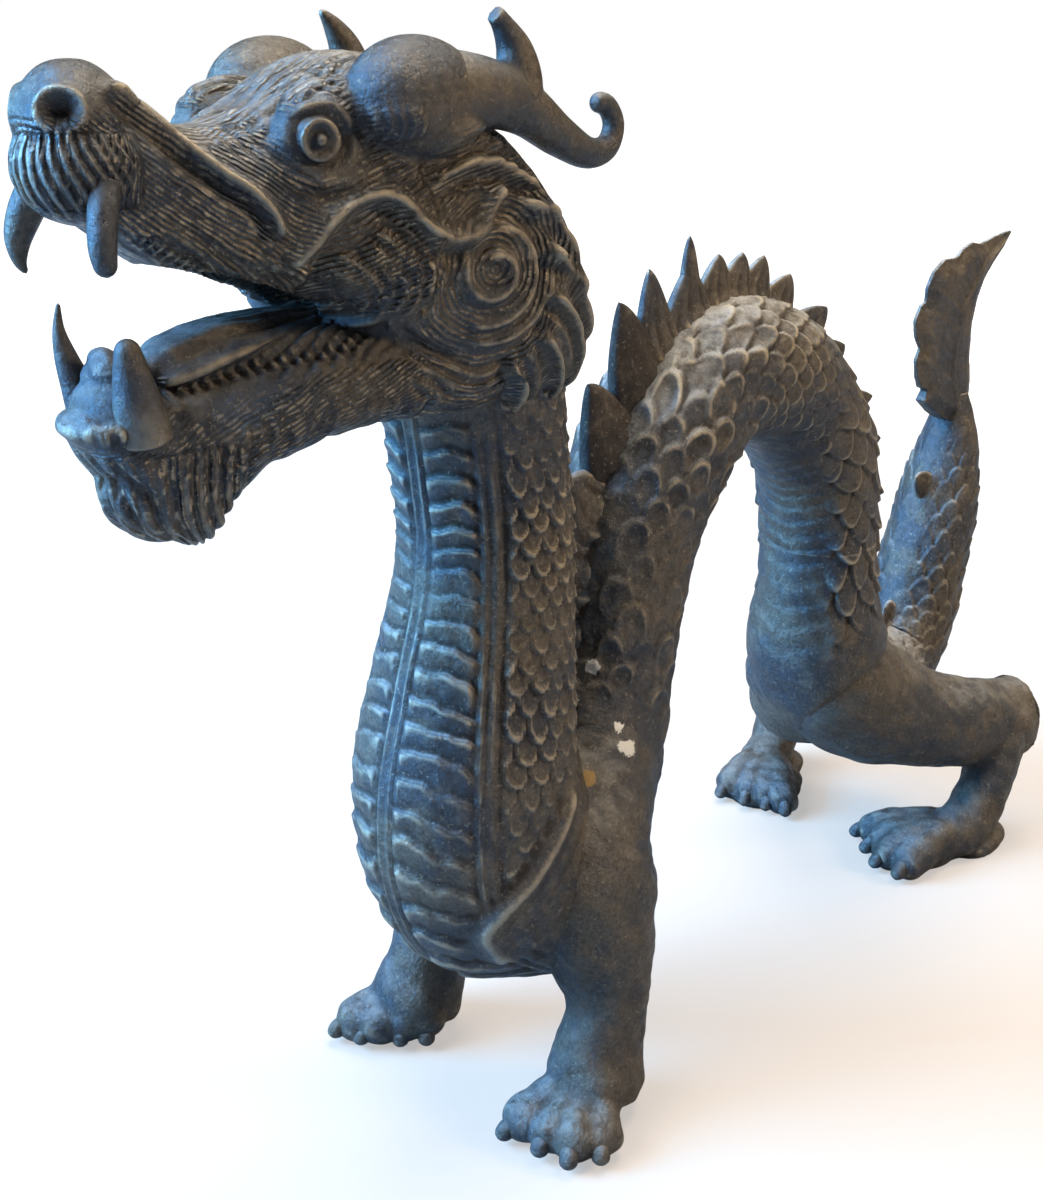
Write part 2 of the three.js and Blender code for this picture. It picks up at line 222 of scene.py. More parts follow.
# %% [markdown]
# Limbs, fangs and horns are all tubes that change their thickness. A flat grid rolled round a
# path gives one; its first and last rows shrink to close it like a sausage.

# %% Tubes and balls


def sheet(name, along, around):
    """A flat grid, with each point's share of the way along and around it."""
    deselect()
    bpy.ops.mesh.primitive_grid_add(x_subdivisions=along, y_subdivisions=around, size=1)
    piece = bpy.context.object
    piece.name = name
    shares = points_of(piece) + 0.5
    return piece, shares[:, 0], shares[:, 1]


def roll_up(piece, points):
    """Put a grid's points on a tube and close it."""
    set_mm(piece, points)
    edit(piece, weld, cap, point_out)
    return piece


def frames_along(run, path):
    """Two crosswise directions at each point of a path, carried along without twist."""
    along = np.gradient(path[:, :3], run, axis=0)
    along /= np.linalg.norm(along, axis=1)[:, None]
    across = np.zeros_like(along)
    last = np.array([0.0, 1.0, 0.0])
    for i, way in enumerate(along):
        last = last - last.dot(way) * way
        last /= np.linalg.norm(last)
        across[i] = last
    return across, np.cross(along, across)


def limb(name, stations, around, step, ends=(1, 1)):
    """A tube through [x, y, z, radius, height over width], with rounded ends."""
    rows = [list(s) + [1.0] * (5 - len(s)) for s in stations]
    run, path = smooth_path(rows, step)
    across, up = frames_along(run, path)
    radius = path[:, 3].copy()
    for rounded, gap, r in ((ends[0], run, radius[0]), (ends[1], run[-1] - run, radius[-1])):
        near = np.clip(gap / max(r * rounded, 1e-6), 0, 1)
        radius *= np.sqrt(np.clip(1 - (1 - near) ** 2, 0.02, 1)) if rounded else 1
    piece, u, v = sheet(name, len(run) - 1, around)
    i = np.rint(u * (len(run) - 1)).astype(int)
    turn = 2 * math.pi * v
    points = path[i, :3] + radius[i, None] * (
        np.cos(turn)[:, None] * across[i] + (np.sin(turn) * path[i, 4])[:, None] * up[i])
    return roll_up(piece, points)


def on_side(stations, side):
    """The same stations on the dragon's right, +1, or on its left, -1."""
    return [[row[0], side * row[1], *row[2:]] for row in stations]


def ball(name, at, radii, segments=32, rings=16):
    deselect()
    bpy.ops.mesh.primitive_uv_sphere_add(segments=segments, ring_count=rings, radius=1)
    piece = bpy.context.object
    piece.name = name
    set_mm(piece, points_of(piece) * radii + at)
    return piece


# %% [markdown]
# Two measures need each point's neighbours: relaxing a remeshed skin without shrinking it, and
# telling rims from hollows, which the patina later colours.

# %% Neighbours: relax, and measure rims and hollows


def edges_of(piece):
    pairs = np.empty(len(piece.data.edges) * 2, np.int32)
    piece.data.edges.foreach_get("vertices", pairs)
    return pairs[0::2], pairs[1::2]


def average(values, a, b, rounds=1, share=0.6):
    """Move each value towards the mean of its neighbours."""
    links = np.bincount(a, minlength=len(values)) + np.bincount(b, minlength=len(values))
    links = np.maximum(links, 1)
    columns = values.reshape(len(values), -1).copy()
    for _ in range(rounds):
        for k in range(columns.shape[1]):
            column = columns[:, k]
            near = np.bincount(a, column[b], len(column)) + np.bincount(b, column[a], len(column))
            columns[:, k] = (1 - share) * column + share * near / links
    return columns.reshape(values.shape)


def relax(piece, rounds):
    """Smooth a skin and push it back out again, so that it keeps its size."""
    a, b = edges_of(piece)
    points = points_of(piece)
    for _ in range(rounds):
        points = average(points, a, b, 1, 0.55)
        points = average(points, a, b, 1, -0.57)
    set_points(piece, points)


def mark_relief(piece):
    """Store how far each point faces up, and how it stands over near and wider surroundings."""
    if "rim" in piece.data.attributes:
        return
    a, b = edges_of(piece)
    points, out = points_of(piece) / MM, normals_of(piece)
    store(piece, "top", np.clip(out[:, 2], 0, 1))
    for name, rounds, scale in (("rim", 5, 4.0), ("relief", 16, 1.1)):
        raised = ((points - average(points, a, b, rounds)) * out).sum(axis=1) * scale
        raised = average(raised, a, b)
        store(piece, name, np.clip(0.5 + 0.5 * (raised - np.median(raised)), 0, 1))


# %% [markdown]
# ## The long body
# The body is one round tube on a winding centre line that lies in the plane of symmetry. A curve
# with a round bevel would give the tube, but no scales. Here a flat grid is rolled round the same
# line instead: every point then knows how far along the body it is and how far round it, so the
# scales, belly plates and folds can be worked as heights on an unrolled skin, as a chaser would
# lay them out. The tube is made in three lengths so that each stays light; the joints between
# them lie inside the legs and where the skins meet flush.

# %% The centre line
BODY_LINE = [  # x, z, radius
    (-90, 236, 22), (-88, 214, 22.5), (-85, 192, 22), (-83, 170, 22), (-84, 150, 23.6),
    (-87.5, 128, 26.5), (-91, 104, 29.5), (-91, 84, 29), (-84, 67, 27), (-67, 57, 23.5),
    (-50, 62, 21.5), (-43, 77, 21), (-38, 96, 21), (-34, 116, 21), (-30, 137, 21),
    (-22, 159, 21.5), (-7, 180, 22), (14, 192, 22.5), (38, 189, 22), (60, 176, 21),
    (76, 155, 20), (82.5, 130, 19.7), (83, 110, 19.8), (86, 90, 20.5), (95, 72, 20.5),
    (112, 61, 20), (131, 58, 19), (147, 63, 18), (157, 76, 17.5), (163, 92, 17),
    (168, 108, 16.3), (173, 124, 14.8), (176, 138, 12), (176.5, 150, 8.5), (176.5, 160, 5),
]
SKIN_STEP = 0.70  # distance between neighbouring points of the skin
SKIN_ROUND = 204  # points round the body
TIGHTEST_FOLD = 0.8  # the skin may not reach past this share of a bend's radius

line_run, line_path = smooth_path([(x, 0, z, r) for x, z, r in BODY_LINE], SKIN_STEP)
line_along = np.gradient(line_path[:, :3], line_run, axis=0)
line_along /= np.linalg.norm(line_along, axis=1)[:, None]
line_back = np.stack([-line_along[:, 2], np.zeros(len(line_run)), line_along[:, 0]], axis=1)
line_bend = (np.gradient(line_along, line_run, axis=0) * line_back).sum(axis=1)
line_bend = np.convolve(np.pad(line_bend, 6, mode="edge"), np.ones(13) / 13, mode="valid")
line_squeeze = np.minimum(1, TIGHTEST_FOLD / np.maximum(line_bend * line_path[:, 3], 1e-6))
LINE_TABLE = np.column_stack([line_path, line_back, line_squeeze])
print("body line", round(line_run[-1], 1), "mm long")


def skin_point(run, turn, rise):
    """The place of skin coordinates: along the body, round it from the back, and height."""
    last = len(line_run) - 1
    i = np.clip(run / line_run[-1] * last, 0, last)
    low = np.floor(i).astype(int)
    mix = (i - low)[:, None]
    row = LINE_TABLE[low] * (1 - mix) + LINE_TABLE[np.minimum(low + 1, last)] * mix
    centre, radius, back, squeeze = row[:, :3], row[:, 3], row[:, 4:7], row[:, 7]
    out = radius + rise
    reach = out * (1 - (1 - squeeze) * np.maximum(np.cos(turn), 0))
    point = centre + back * (reach * np.cos(turn))[:, None]
    point[:, 1] += out * np.sin(turn)
    return point


# %% [markdown]
# Scales overlap like tiles. Each one rises from its root to its free tip and ends in a rounded
# edge, and every second row is set half a scale aside. Where two scales meet, the higher wins.

# %% Scales as a height on the skin


def scales(run, column, row, rise, rim, long, square):
    """Overlapping scales: column counts scales round the body, row is their spacing in mm."""
    height = np.zeros_like(run)
    first = np.floor(run / row)
    for back in (2, 1, 0):
        k = first - back
        share = (run - k * row) / (row * long)
        place = column - 0.5 * np.mod(k, 2)
        aside = np.abs(place - np.rint(place)) * 2
        tip = np.clip((share - square) / (1 - square), 0, None)
        reach = np.sqrt(aside ** 2 + tip ** 2)
        inside = ramp(0, 0.1, 1 - reach) * (share > 0)
        uneven = 0.85 + 0.25 * np.sin(12.9 * k + 78.2 * np.rint(place))
        body = uneven * rise * (0.15 + 0.85 * share) * (1 - 0.35 * aside ** 2)
        body = body + rim * hump(reach - 0.82, 0.15) * ramp(0.1, 0.4, share)
        height = np.maximum(height, inside * body)
    return height


def cups(run, column, row, rise):
    """Round dished scales with a raised rim, set in staggered rows."""
    height = np.zeros_like(run)
    first = np.floor(run / row)
    for back in (1, 0, -1):
        k = first - back
        share = (run - (k + 0.5) * row) / (row * 0.95)
        place = column - 0.5 * np.mod(k, 2)
        aside = np.abs(place - np.rint(place)) * 2
        reach = np.sqrt(aside ** 2 * 0.95 + (share * 0.98 - 0.1) ** 2)
        lean = 0.72 + 0.28 * np.clip(share, -1, 1)
        lean = lean * (0.85 + 0.3 * np.sin(12.9 * k + 78.2 * np.rint(place)))
        height = np.maximum(height, rise * lean * (hump(reach - 0.8, 0.24)
                                                   + 0.42 * ramp(0, 0.5, 0.9 - reach)))
    return height


# %% [markdown]
# The neck and chest carry broad belly plates between two raised border lines, with a thin double
# line down the middle. Each plate is a step with a rolled upper rim, and it droops to the sides.

# %% Belly plates
PLATE_PITCH, PLATE_RISE = 6.7, 1.35
CHEST_FROM, CHEST_TO = 70.0, 165.0  # the belly widens into the chest between these


def belly_plates(run, q, radius, place):
    """Height of the plates, and 1 beyond their border; q is the turn from the mid-belly."""
    across = q * radius
    chest = ramp(CHEST_FROM, CHEST_TO, run)
    edge = (0.77 + 0.16 * chest) * radius
    span = np.clip((across - 3) / (edge - 3), 0, 1.2)
    droop = (1.2 + 5.0 * chest) * span ** 1.4 - (1.5 - 0.7 * chest) * np.sin(math.pi * span)
    droop += 0.8 * wobble(place, 6, 5.5)
    count = (run - droop) / PLATE_PITCH + 0.1 * wobble(place, 3, 14)
    share = count - np.floor(count)
    plate = PLATE_RISE * (ramp(0, 0.2, share) * (1 - share) + 0.45 * np.sin(math.pi * share))
    plate += 0.3 * hump(share - 0.2, 0.13) * (0.5 + 0.8 * wobble(place, 5, 5))
    plate *= 1 - 0.4 * chest * ramp(0.2, 0.8, across / edge)
    plate *= ramp(2.6, 4.2, across) * ramp(0, 2.2, edge - across) * ramp(0, 1, edge + 0.6 - across)
    midline = 0.75 * hump(across - 1.6, 0.62) + 0.3 * ramp(0, 1.5, 3 - across)
    past = across - edge
    rail = 0.95 * hump(past, 0.75) - 0.45 * hump(past - 1.7, 0.6) - 0.35 * hump(past + 1.5, 0.6)
    band = past / 5.2
    roll = 0.9 * np.clip(1 - (2 * band - 1) ** 2, 0, None) * (band > 0)
    return plate + midline + rail + roll, ramp(0, 0.8, past - 5.6)


# %% [markdown]
# Beside the plates run columns of long scales. The first column has dished scales, the arch
# small lumpy ones, and the second column large shingles. Each kind holds from one place on the
# body line to the next, so the zones are a table, and neighbours fade into each other.

# %% The relief of the whole skin
SCALE_ZONES = [  # start, kind, scales round the body, shift, and the kind's own measures
    (0, scales, 24, 0.5, (5.4, 1.3, 0.8, 1.8, 0.45)),
    (222, cups, 14, 0, (6.9, 1.6)),
    (346, scales, 16, 0, (5.2, 1.3, 0.4, 1.6, 0.2)),
    (412, scales, 11, 0, (7.8, 2.5, 0.2, 1.75, 0.15)),
    (505, scales, 15, 0, (6.4, 1.0, 0.15, 1.6, 0.1)),
    (600, scales, 12, 0, (6.4, 1.1, 0.15, 1.7, 0.1)),
]
ZONE_BLEND = 3.0
SOFT_FROM, SOFT_PITCH = 330.0, 6.6  # the faint belly plates of the second column
# Each change in the skin's kind runs between two places along the body.
NECK_ENDS, SOFT_STARTS, TAIL_STARTS = (224, 240), (405, 425), (585, 605)


def scale_height(run, turn, place):
    share = turn / (2 * math.pi)
    along = run + 1.7 * wobble(place, 1, 14)
    aside = 0.17 * wobble(place, 2, 13)
    height = np.zeros_like(run)
    for start, kind, count, shift, measures in SCALE_ZONES:
        zone = kind(along, share * count + shift + aside, *measures)
        if start == 0:  # the neck's scales sink a little towards the chest
            height = zone * (1 - 0.35 * ramp(CHEST_FROM, CHEST_TO, run))
        else:
            mix = ramp(start - ZONE_BLEND, start + ZONE_BLEND, run)
            height = height * (1 - mix) + zone * mix
    return height


def skin_height(run, turn):
    """The whole relief over the bare tube, in mm."""
    radius = np.interp(run, line_run, line_path[:, 3])
    q = math.pi - np.abs(turn)
    place = np.stack([run, radius * np.cos(turn), radius * np.sin(turn)], axis=1)
    back = np.abs(turn) * radius  # a smooth band is left beside the fins
    height = scale_height(run, turn, place)
    height = height * ramp(3.2, 7.4, back) + 0.55 * (1 - ramp(3.0, 7.0, back))
    # the inner side of the arch is smooth, and the second column's belly has soft plates
    sides = ramp(0.62, 0.95, q)
    share = np.mod(run - SOFT_FROM + 0.25 * q * radius, SOFT_PITCH) / SOFT_PITCH
    tail = ramp(*TAIL_STARTS, run)
    soft = (0.8 * ramp(0, 0.4, share) * (1 - share) + 0.2) * ramp(*SOFT_STARTS, run) * (1 - tail)
    body = (height * sides + soft * (1 - sides)) * (1 - tail) + height * tail
    plates, beyond = belly_plates(run, q, radius, place)
    front = 1 - ramp(*NECK_ENDS, run)
    whole = (plates + height * beyond) * front + body * (1 - front)
    whole = whole * (0.9 + 0.3 * wobble(place, 4, 22))
    whole += 0.28 * wobble(place, 10, 4.5) * ramp(226, 240, run) * sides
    fade = ramp(0, 8, run) * (1 - ramp(line_run[-1] - 30, line_run[-1] - 8, run))
    return (whole - 0.75) * fade + 0.1 * wobble(place, 9, 2.4)


print(len(SCALE_ZONES), "zones of scales along", round(line_run[-1]), "mm")

# %% [markdown]
# Where a leg grows out of the body the metal swells into a soft fillet, and the scales fade out.
# Both skins are moved there: each point within a few millimetres of the other mass is lifted, by
# most where the two surfaces cross. The leg tables are therefore needed before the skin is made.

# %% Legs as masses, and the fillet
FRONT_LEG = [  # x, y, z, radius
    (-43, 6, 106, 8), (-50, 11, 95, 12.6), (-60, 19, 80, 15.6), (-66.5, 27, 66, 15.4),
    (-67.5, 30, 52, 13.6), (-67.2, 31, 38, 11.9), (-69, 31.5, 24, 11.3), (-71.5, 32, 12, 12.2),
    (-75, 32, 3, 12.8),
]
HIND_LEG = [  # the fifth number is height over width
    (92, 3, 72, 18, 1), (100, 12, 61, 18, 1.1), (121, 27, 51.5, 14.8, 1.2),
    (145, 38, 45.5, 12.3, 1.28), (166, 42.5, 42, 12.3, 1.25),
]
HIP = [(88, 4, 84, 17), (96, 10, 66, 18.5), (110, 17, 54, 15)]
FILLET = 17.0  # how far from the crossing the metal swells
NEAR_MASS = 40.0  # farther points are not measured


def spheres_along(stations):
    return smooth_path([s[:4] for s in stations], 3.0)[1]


def distance_to(spheres, points):
    """How far points lie outside a chain of spheres."""
    best = np.full(len(points), 1e9)
    low = spheres[:, :3].min(0) - NEAR_MASS
    high = spheres[:, :3].max(0) + NEAR_MASS
    near = np.flatnonzero(((points > low) & (points < high)).all(axis=1))
    spots = points[near]
    gap = np.full(len(near), 1e9)
    for x, y, z, radius in spheres:
        gap = np.minimum(gap, np.sqrt(((spots - (x, y, z)) ** 2).sum(axis=1)) - radius)
    best[near] = gap
    return best


def fillet(gap):
    """Lift near the crossing; it falls off fast inside the other mass, where nothing shows."""
    return np.clip(FILLET - np.abs(gap), 0, None) ** 2 / (4 * FILLET) * ramp(-8, -1, gap)


LEG_LINES = np.vstack([spheres_along(line) for line in (FRONT_LEG, HIND_LEG[:4], HIP)])
BODY_SPHERES = line_path[::5, :4]
print("masses for fillets:", len(LEG_LINES), "leg and", len(BODY_SPHERES), "body spheres")

# %% [markdown]
# A smooth flame-shaped plate lies on each shoulder, its edge drawn as a line in the side view.
# The same kind of stroke later carries every crest and lock of the head: a point needs to know
# how far it is from the line, on which side, and how far along.

# %% Distance from a side-view line, and the shoulder plate


def path_distance(spots, path):
    """Signed distance from side-view spots to a smooth path, and the share along it."""
    run, line = smooth_path([(x, 0, z) for x, z in path], 0.8)
    line = line[:, [0, 2]]
    start, way = line[:-1], np.diff(line, axis=0)
    length = np.maximum((way ** 2).sum(1), 1e-9)
    best = np.full(len(spots), 1e9)
    signed, share = np.zeros(len(spots)), np.zeros(len(spots))
    for k in range(len(start)):
        to = spots - start[k]
        t = np.clip(to @ way[k] / length[k], 0, 1)
        gap = to - t[:, None] * way[k]
        distance = np.hypot(gap[:, 0], gap[:, 1])
        closer = distance < best
        best[closer] = distance[closer]
        sign = np.sign(way[k, 0] * to[:, 1] - way[k, 1] * to[:, 0])
        signed[closer] = (distance * sign)[closer]
        share[closer] = ((run[k] + t * (run[k + 1] - run[k])) / run[-1])[closer]
    return signed, share


FLAME_EDGE = [(-80, 108), (-86, 99), (-96, 88), (-106, 77), (-108.5, 69), (-104, 60), (-96, 50)]


def shoulder_flame(bare, turn):
    lift, covered = np.zeros(len(bare)), np.zeros(len(bare))
    on_chest = np.flatnonzero((bare[:, 0] < -55) & (bare[:, 2] < 118) & (bare[:, 2] > 40)
                              & (np.abs(np.sin(turn)) > 0.35))
    if len(on_chest):
        gap, share = path_distance(bare[on_chest][:, [0, 2]], FLAME_EDGE)
        fade = ramp(0, 0.12, share) * ramp(0, 0.15, 1 - share)
        plate = 1.4 * ramp(-0.5, 2.6, gap) * ramp(30, 9, gap) + 0.9 * hump(gap - 2.8, 2.0)
        for row in (7.0, 12.5):
            plate -= 0.4 * hump(gap - row, 1.3)
        lift[on_chest] = fade * (plate - 0.4 * hump(gap + 1.8, 1.6))
        covered[on_chest] = fade * ramp(-2.5, 0.5, gap) * ramp(34, 22, gap)
    return lift, covered


# %% [markdown]
# Now the skin is rolled. The relief dies away near the legs and under the shoulder plates, and
# the fillets are added to it before the grid is put on the tube.

# %% Roll the three lengths of skin
BODY_CUTS = [("neck_and_chest", 0.0, 222.0), ("arched_body", 221.0, 470.0),
             ("hips_and_tail", 469.0, None)]


def body_length(name, start, stop):
    stop = line_run[-1] if stop is None else stop
    step = SKIN_STEP
    cells = int((stop - start) / step)
    piece, u, v = sheet(name, cells, SKIN_ROUND // (1))
    run = start + u * (stop - start)
    turn = (2 * v - 1) * math.pi
    bare = skin_point(run, turn, np.zeros_like(run))
    to_leg = np.minimum(distance_to(LEG_LINES, bare), distance_to(LEG_LINES, bare * [1, -1, 1]))
    flame, covered = shoulder_flame(bare, turn)
    relief = skin_height(run, turn) * ramp(1, 9, to_leg) * (1 - 0.95 * covered)
    relief += flame + fillet(to_leg)
    roll_up(piece, skin_point(run, turn, relief))
    print(name, len(piece.data.polygons), "faces")
    return piece


body_pieces = [body_length(*cut) for cut in BODY_CUTS]

# %% [markdown]
# ## The head
# The head is the showpiece: a long muzzle with a ball nose, a sharp crest along each upper lip
# that ends in an S-shaped scroll, a spiral on the cheek, and hair laid in locks. It is built as
# the sculptor would: rough masses first, pressed into one skin by a voxel remesh, and then
# every crest, groove and strand is drawn over that skin as a stroke with a height.

# %% Head masses
SKULL = [  # x, top z, bottom z, half width
    (-66, 224, 207, 7), (-68.5, 232, 204, 14), (-73, 239, 203, 21), (-80, 248, 202, 27),
    (-90, 260, 202, 31), (-102, 270, 202, 32.5), (-116, 279, 204, 31), (-130, 281, 216, 28),
    (-141, 277, 230, 25), (-151, 271.5, 233.5, 21), (-162, 268, 237, 16.5),
    (-172, 269, 241, 13), (-181, 273, 246, 11), (-190, 274, 252, 10), (-195, 270, 256, 7),
]
JAW = [
    (-92, 228, 204, 25), (-108, 229, 203, 28), (-122, 229.5, 204.5, 26), (-136, 229, 205, 23),
    (-148, 227.5, 203, 20), (-158, 225.5, 200, 17.5), (-166, 223, 193, 15),
    (-171, 221.5, 186, 13.5), (-177, 219.5, 189, 12.5), (-185, 218, 198, 11),
    (-190.5, 217.5, 205, 9), (-194, 217, 211, 5),
]
HEAD_SQUARENESS = 2.3


def head_loft(name, stations, around=72, step=1.4):
    """A mass through rounded-square sections that stand across the head."""
    run, path = smooth_path([(x, 0, (top + low) / 2, (top - low) / 2, half)
                             for x, top, low, half in stations], step)
    piece, u, v = sheet(name, len(run) - 1, around)
    i = np.rint(u * (len(run) - 1)).astype(int)
    turn = 2 * math.pi * v

    def squared(value):
        return np.sign(value) * np.abs(value) ** (2 / HEAD_SQUARENESS)

    points = path[i, :3].copy()
    points[:, 1] = path[i, 4] * squared(np.cos(turn))
    points[:, 2] += path[i, 3] * squared(np.sin(turn))
    return roll_up(piece, points)


def cut_away(piece, tool):
    modify(piece, "BOOLEAN", operation="DIFFERENCE", object=tool, solver="EXACT")
    bpy.data.objects.remove(tool)


jaw = head_loft("jaw", JAW)
cut_away(jaw, ball("mouth_floor", (-165, 0, 231), (30, 11.5, 9.5)))
skull = head_loft("skull", SKULL)
cut_away(skull, ball("palate", (-160, 0, 233), (27, 12.5, 12)))
masses = [
    skull, jaw,
    ball("nose", (-188, 0, 270), (10, 10.3, 9.8)),
    ball("moustache", (-187.6, 0, 261.5), (12.0, 13.2, 10.6)),
    ball("tongue", (-149, 0, 223.5), (32, 9.5, 7.5)),
    ball("tooth_lump", (-186.4, 0, 219), (4.2, 7.0, 9.5)),
    ball("chin_roll", (-186.8, 0, 213.4), (8.6, 10.4, 4.6)),
    ball("gum", (-186.4, 0, 217), (6.6, 9.2, 6.4)),
    ball("beard", (-176, 0, 201), (14, 11.5, 13)),
]
for side in (1, -1):
    masses += [
        ball("horn_boss", (-125, side * 22, 272), (16, 11, 12)),
        ball("brow", (-141, side * 15.5, 269.5), (12.5, 7, 6.8)),
        ball("eye_socket", (-147.6, side * 14.8, 265), (7.4, 6.8, 6.8)),
        ball("cheek", (-130, side * 17, 243), (17, 9.5, 12)),
    ]
head = join(masses, "head")
HEAD_CELL = 0.55
modify(head, "REMESH", mode="VOXEL", voxel_size=HEAD_CELL * 1 * MM)
relax(head, 26)
print("head skin", len(head.data.vertices), "points")

# %% [markdown]
# A stroke is a line in the side view of the head, laid on both cheeks. Near the line the skin is
# raised or sunk by a profile of the distance from it. A crest is one narrow hump, a lock of hair
# is a broad swelling with thin grooves that run along it, and a fold is a step.

# %% Strokes on the skin


class Skin:
    """The points of the head while strokes are drawn on them; heights add up."""

    def __init__(self, piece):
        self.piece = piece
        self.base = get_mm(piece)
        self.out = normals_of(piece)
        self.height = np.zeros(len(self.base))
        self.locks = np.zeros(len(self.base))
        self.x, self.z = self.base[:, 0], self.base[:, 2]
        self.y = np.abs(self.base[:, 1])
        self.side_facing = ramp(0.05, 0.4, self.out[:, 1] * np.sign(self.base[:, 1]))

    def from_spot(self, x, z):
        return np.hypot(self.x - x, self.z - z)

    def from_ball(self, centre, radii):
        """Distance from an egg on each side, as a share of its radii."""
        folded = np.stack([self.x, self.y, self.z], axis=1)
        return np.linalg.norm((folded - centre) / radii, axis=1)

    def turn_about(self, x):
        """The angle round an upright axis at x."""
        return np.arctan2(self.base[:, 1], -(self.x - x))

    def near(self, path, reach):
        """Points within reach of a side-view path: which, signed distance, share along."""
        path = np.array(path, float)
        low, high = path.min(0) - reach - 4, path.max(0) + reach + 4
        which = np.flatnonzero((self.x > low[0]) & (self.x < high[0]) & (self.z > low[1])
                               & (self.z < high[1]) & (self.side_facing > 0.01))
        signed, share = path_distance(np.stack([self.x[which], self.z[which]], axis=1), path)
        keep = np.abs(signed) < reach
        return which[keep], signed[keep], share[keep]

    def ridge(self, path, width, rise):
        """A ridge through points x, y, z that are first drawn onto the skin, on both sides."""
        run, line = smooth_path(path, 1.2)
        folded = np.stack([self.x, self.y, self.z], axis=1)
        low, high = line.min(0) - 6, line.max(0) + 6
        which = np.flatnonzero(((folded > low) & (folded < high)).all(axis=1))
        spots = folded[which]
        drawn = np.array([spots[np.argmin(((spots - p) ** 2).sum(1))] for p in line])
        self.height[which] += rise * hump(line_gap(spots, drawn), width)

    def add(self, which, height):
        self.height[which] += height * self.side_facing[which]

    def crest(self, path, width, rise, taper=0.12, undercut=0.0):
        """A rounded ridge; undercut sinks the skin on its left side, seen along the path."""
        which, d, share = self.near(path, 3.2 * width)
        fade = ramp(0, taper, share) * ramp(0, taper, 1 - share)
        below = undercut * hump(d + 1.7 * width, 1.1 * width)
        self.add(which, fade * (rise * hump(d, width) - below))

    def lock(self, path, width, rise, strands=3, groove=0.35, taper=0.25):
        """A swelling with strands that run along it and close at both ends."""
        which, d, share = self.near(path, width)
        fade = ramp(0, taper, share) * ramp(0, taper * 0.6, 1 - share)
        span = width * (0.35 + 0.65 * fade)
        across = np.clip(d / span, -1, 1)
        body = rise * np.sqrt(1 - across ** 2) * fade
        lines = groove * np.cos(math.pi * strands * across) * (1 - across ** 2) ** 0.5 * fade
        height = (body + lines) * self.side_facing[which]
        self.locks[which] = np.maximum(self.locks[which], height)

    def strands(self, value, pitch, depth, mask):
        """Thin grooves along the level lines of a value in mm."""
        wave = 0.5 + 0.5 * np.cos(2 * math.pi * value / pitch)
        self.height -= depth * wave ** 2 * mask

    def press(self):
        set_mm(self.piece, self.base + self.out * (self.height + self.locks)[:, None])


skin = Skin(head)
jitter = wobble(skin.base, 21, 12)
BOSS, BOSS_REACH = (-124, 22, 272), (17, 12, 13)
NOSE_AXIS, CHIN_AXIS = -184, -166
off_boss = ramp(1.0, 1.2, skin.from_ball(BOSS, BOSS_REACH))
print("smooth horn bosses cover", int((off_boss < 0.5).sum()), "points")

# %% [markdown]
# A sharp crest runs down each side of the muzzle, and below it a long S-shaped scroll sweeps
# back over the cheek. The lips are beaded, and the flank between crest and lip is cut with
# short slanting strokes.

# %% Muzzle, lips and scroll
LIP_CREST = [(-187, 276), (-182.5, 273.5), (-178, 270), (-173, 265), (-167, 260), (-161.5, 256),
             (-158, 251.5), (-156.5, 246)]
LIP_SCROLL = [(-160, 245.5), (-156, 242.5), (-151.5, 246), (-148, 250.5), (-142, 254.6),
              (-136, 254.4), (-130, 250), (-124, 245.5), (-118, 246), (-112, 251), (-106, 258)]
skin.crest(LIP_CREST, 1.3, 2.4, 0.1, 1.5)
skin.crest([(x - 0.5, z - 5.6) for x, z in LIP_CREST[3:]], 0.8, 0.4, 0.2)
skin.crest(LIP_SCROLL, 1.9, 3.0, 0.12, 1.0)
skin.crest([(x + 1.5, z - 5.0) for x, z in LIP_SCROLL[3:8]], 1.0, 0.6, 0.3)
UPPER_LIP = [(-181, 246.5), (-173, 241.5), (-167, 237.8), (-157.5, 233.5), (-147, 231.5),
             (-137, 231.2)]
LOWER_LIP = [(-193, 215), (-185, 217), (-178, 221), (-171, 222.6), (-163, 224.6),
             (-152, 226), (-141, 227.4), (-133, 231)]
skin.crest(UPPER_LIP, 1.2, 0.9, 0.1)
skin.crest(LOWER_LIP[2:], 1.6, 1.9, 0.06, 0.5)
skin.crest([(x, z + 5.0) for x, z in LOWER_LIP[2:]], 1.0, 0.8, 0.1)
skin.ridge([(-196, -1, 214.5), (-194, 5, 214.5), (-189, 9.5, 215), (-184, 11.5, 217),
            (-178, 12.5, 220)], 1.7, 1.2)
for path, shift in ((UPPER_LIP, 2.4), (LOWER_LIP, -2.6)):
    which, d, share = skin.near([(x, z + shift) for x, z in path], 1.6)
    run = share * 50
    skin.add(which, 0.45 * np.sign(np.sin(2 * math.pi * run / 2.0)) * hump(d, 1.1))
flank = (ramp(-180, -174, skin.x) * ramp(-146, -152, skin.x) * ramp(231, 235, skin.z)
         * ramp(257, 253, skin.z + 0.8 * (skin.x + 167)) * skin.side_facing)
skin.height += 0.3 * wobble(skin.base, 23, 1.7) * flank
skin.strands(skin.z + 0.55 * skin.x + 1.2 * jitter, 3.6, 0.35, flank)

# %% [markdown]
# The moustache under the nose is a row of upright wrinkles, so its grooves follow the angle
# round the nose. A nostril is a deep dent with a raised rim.

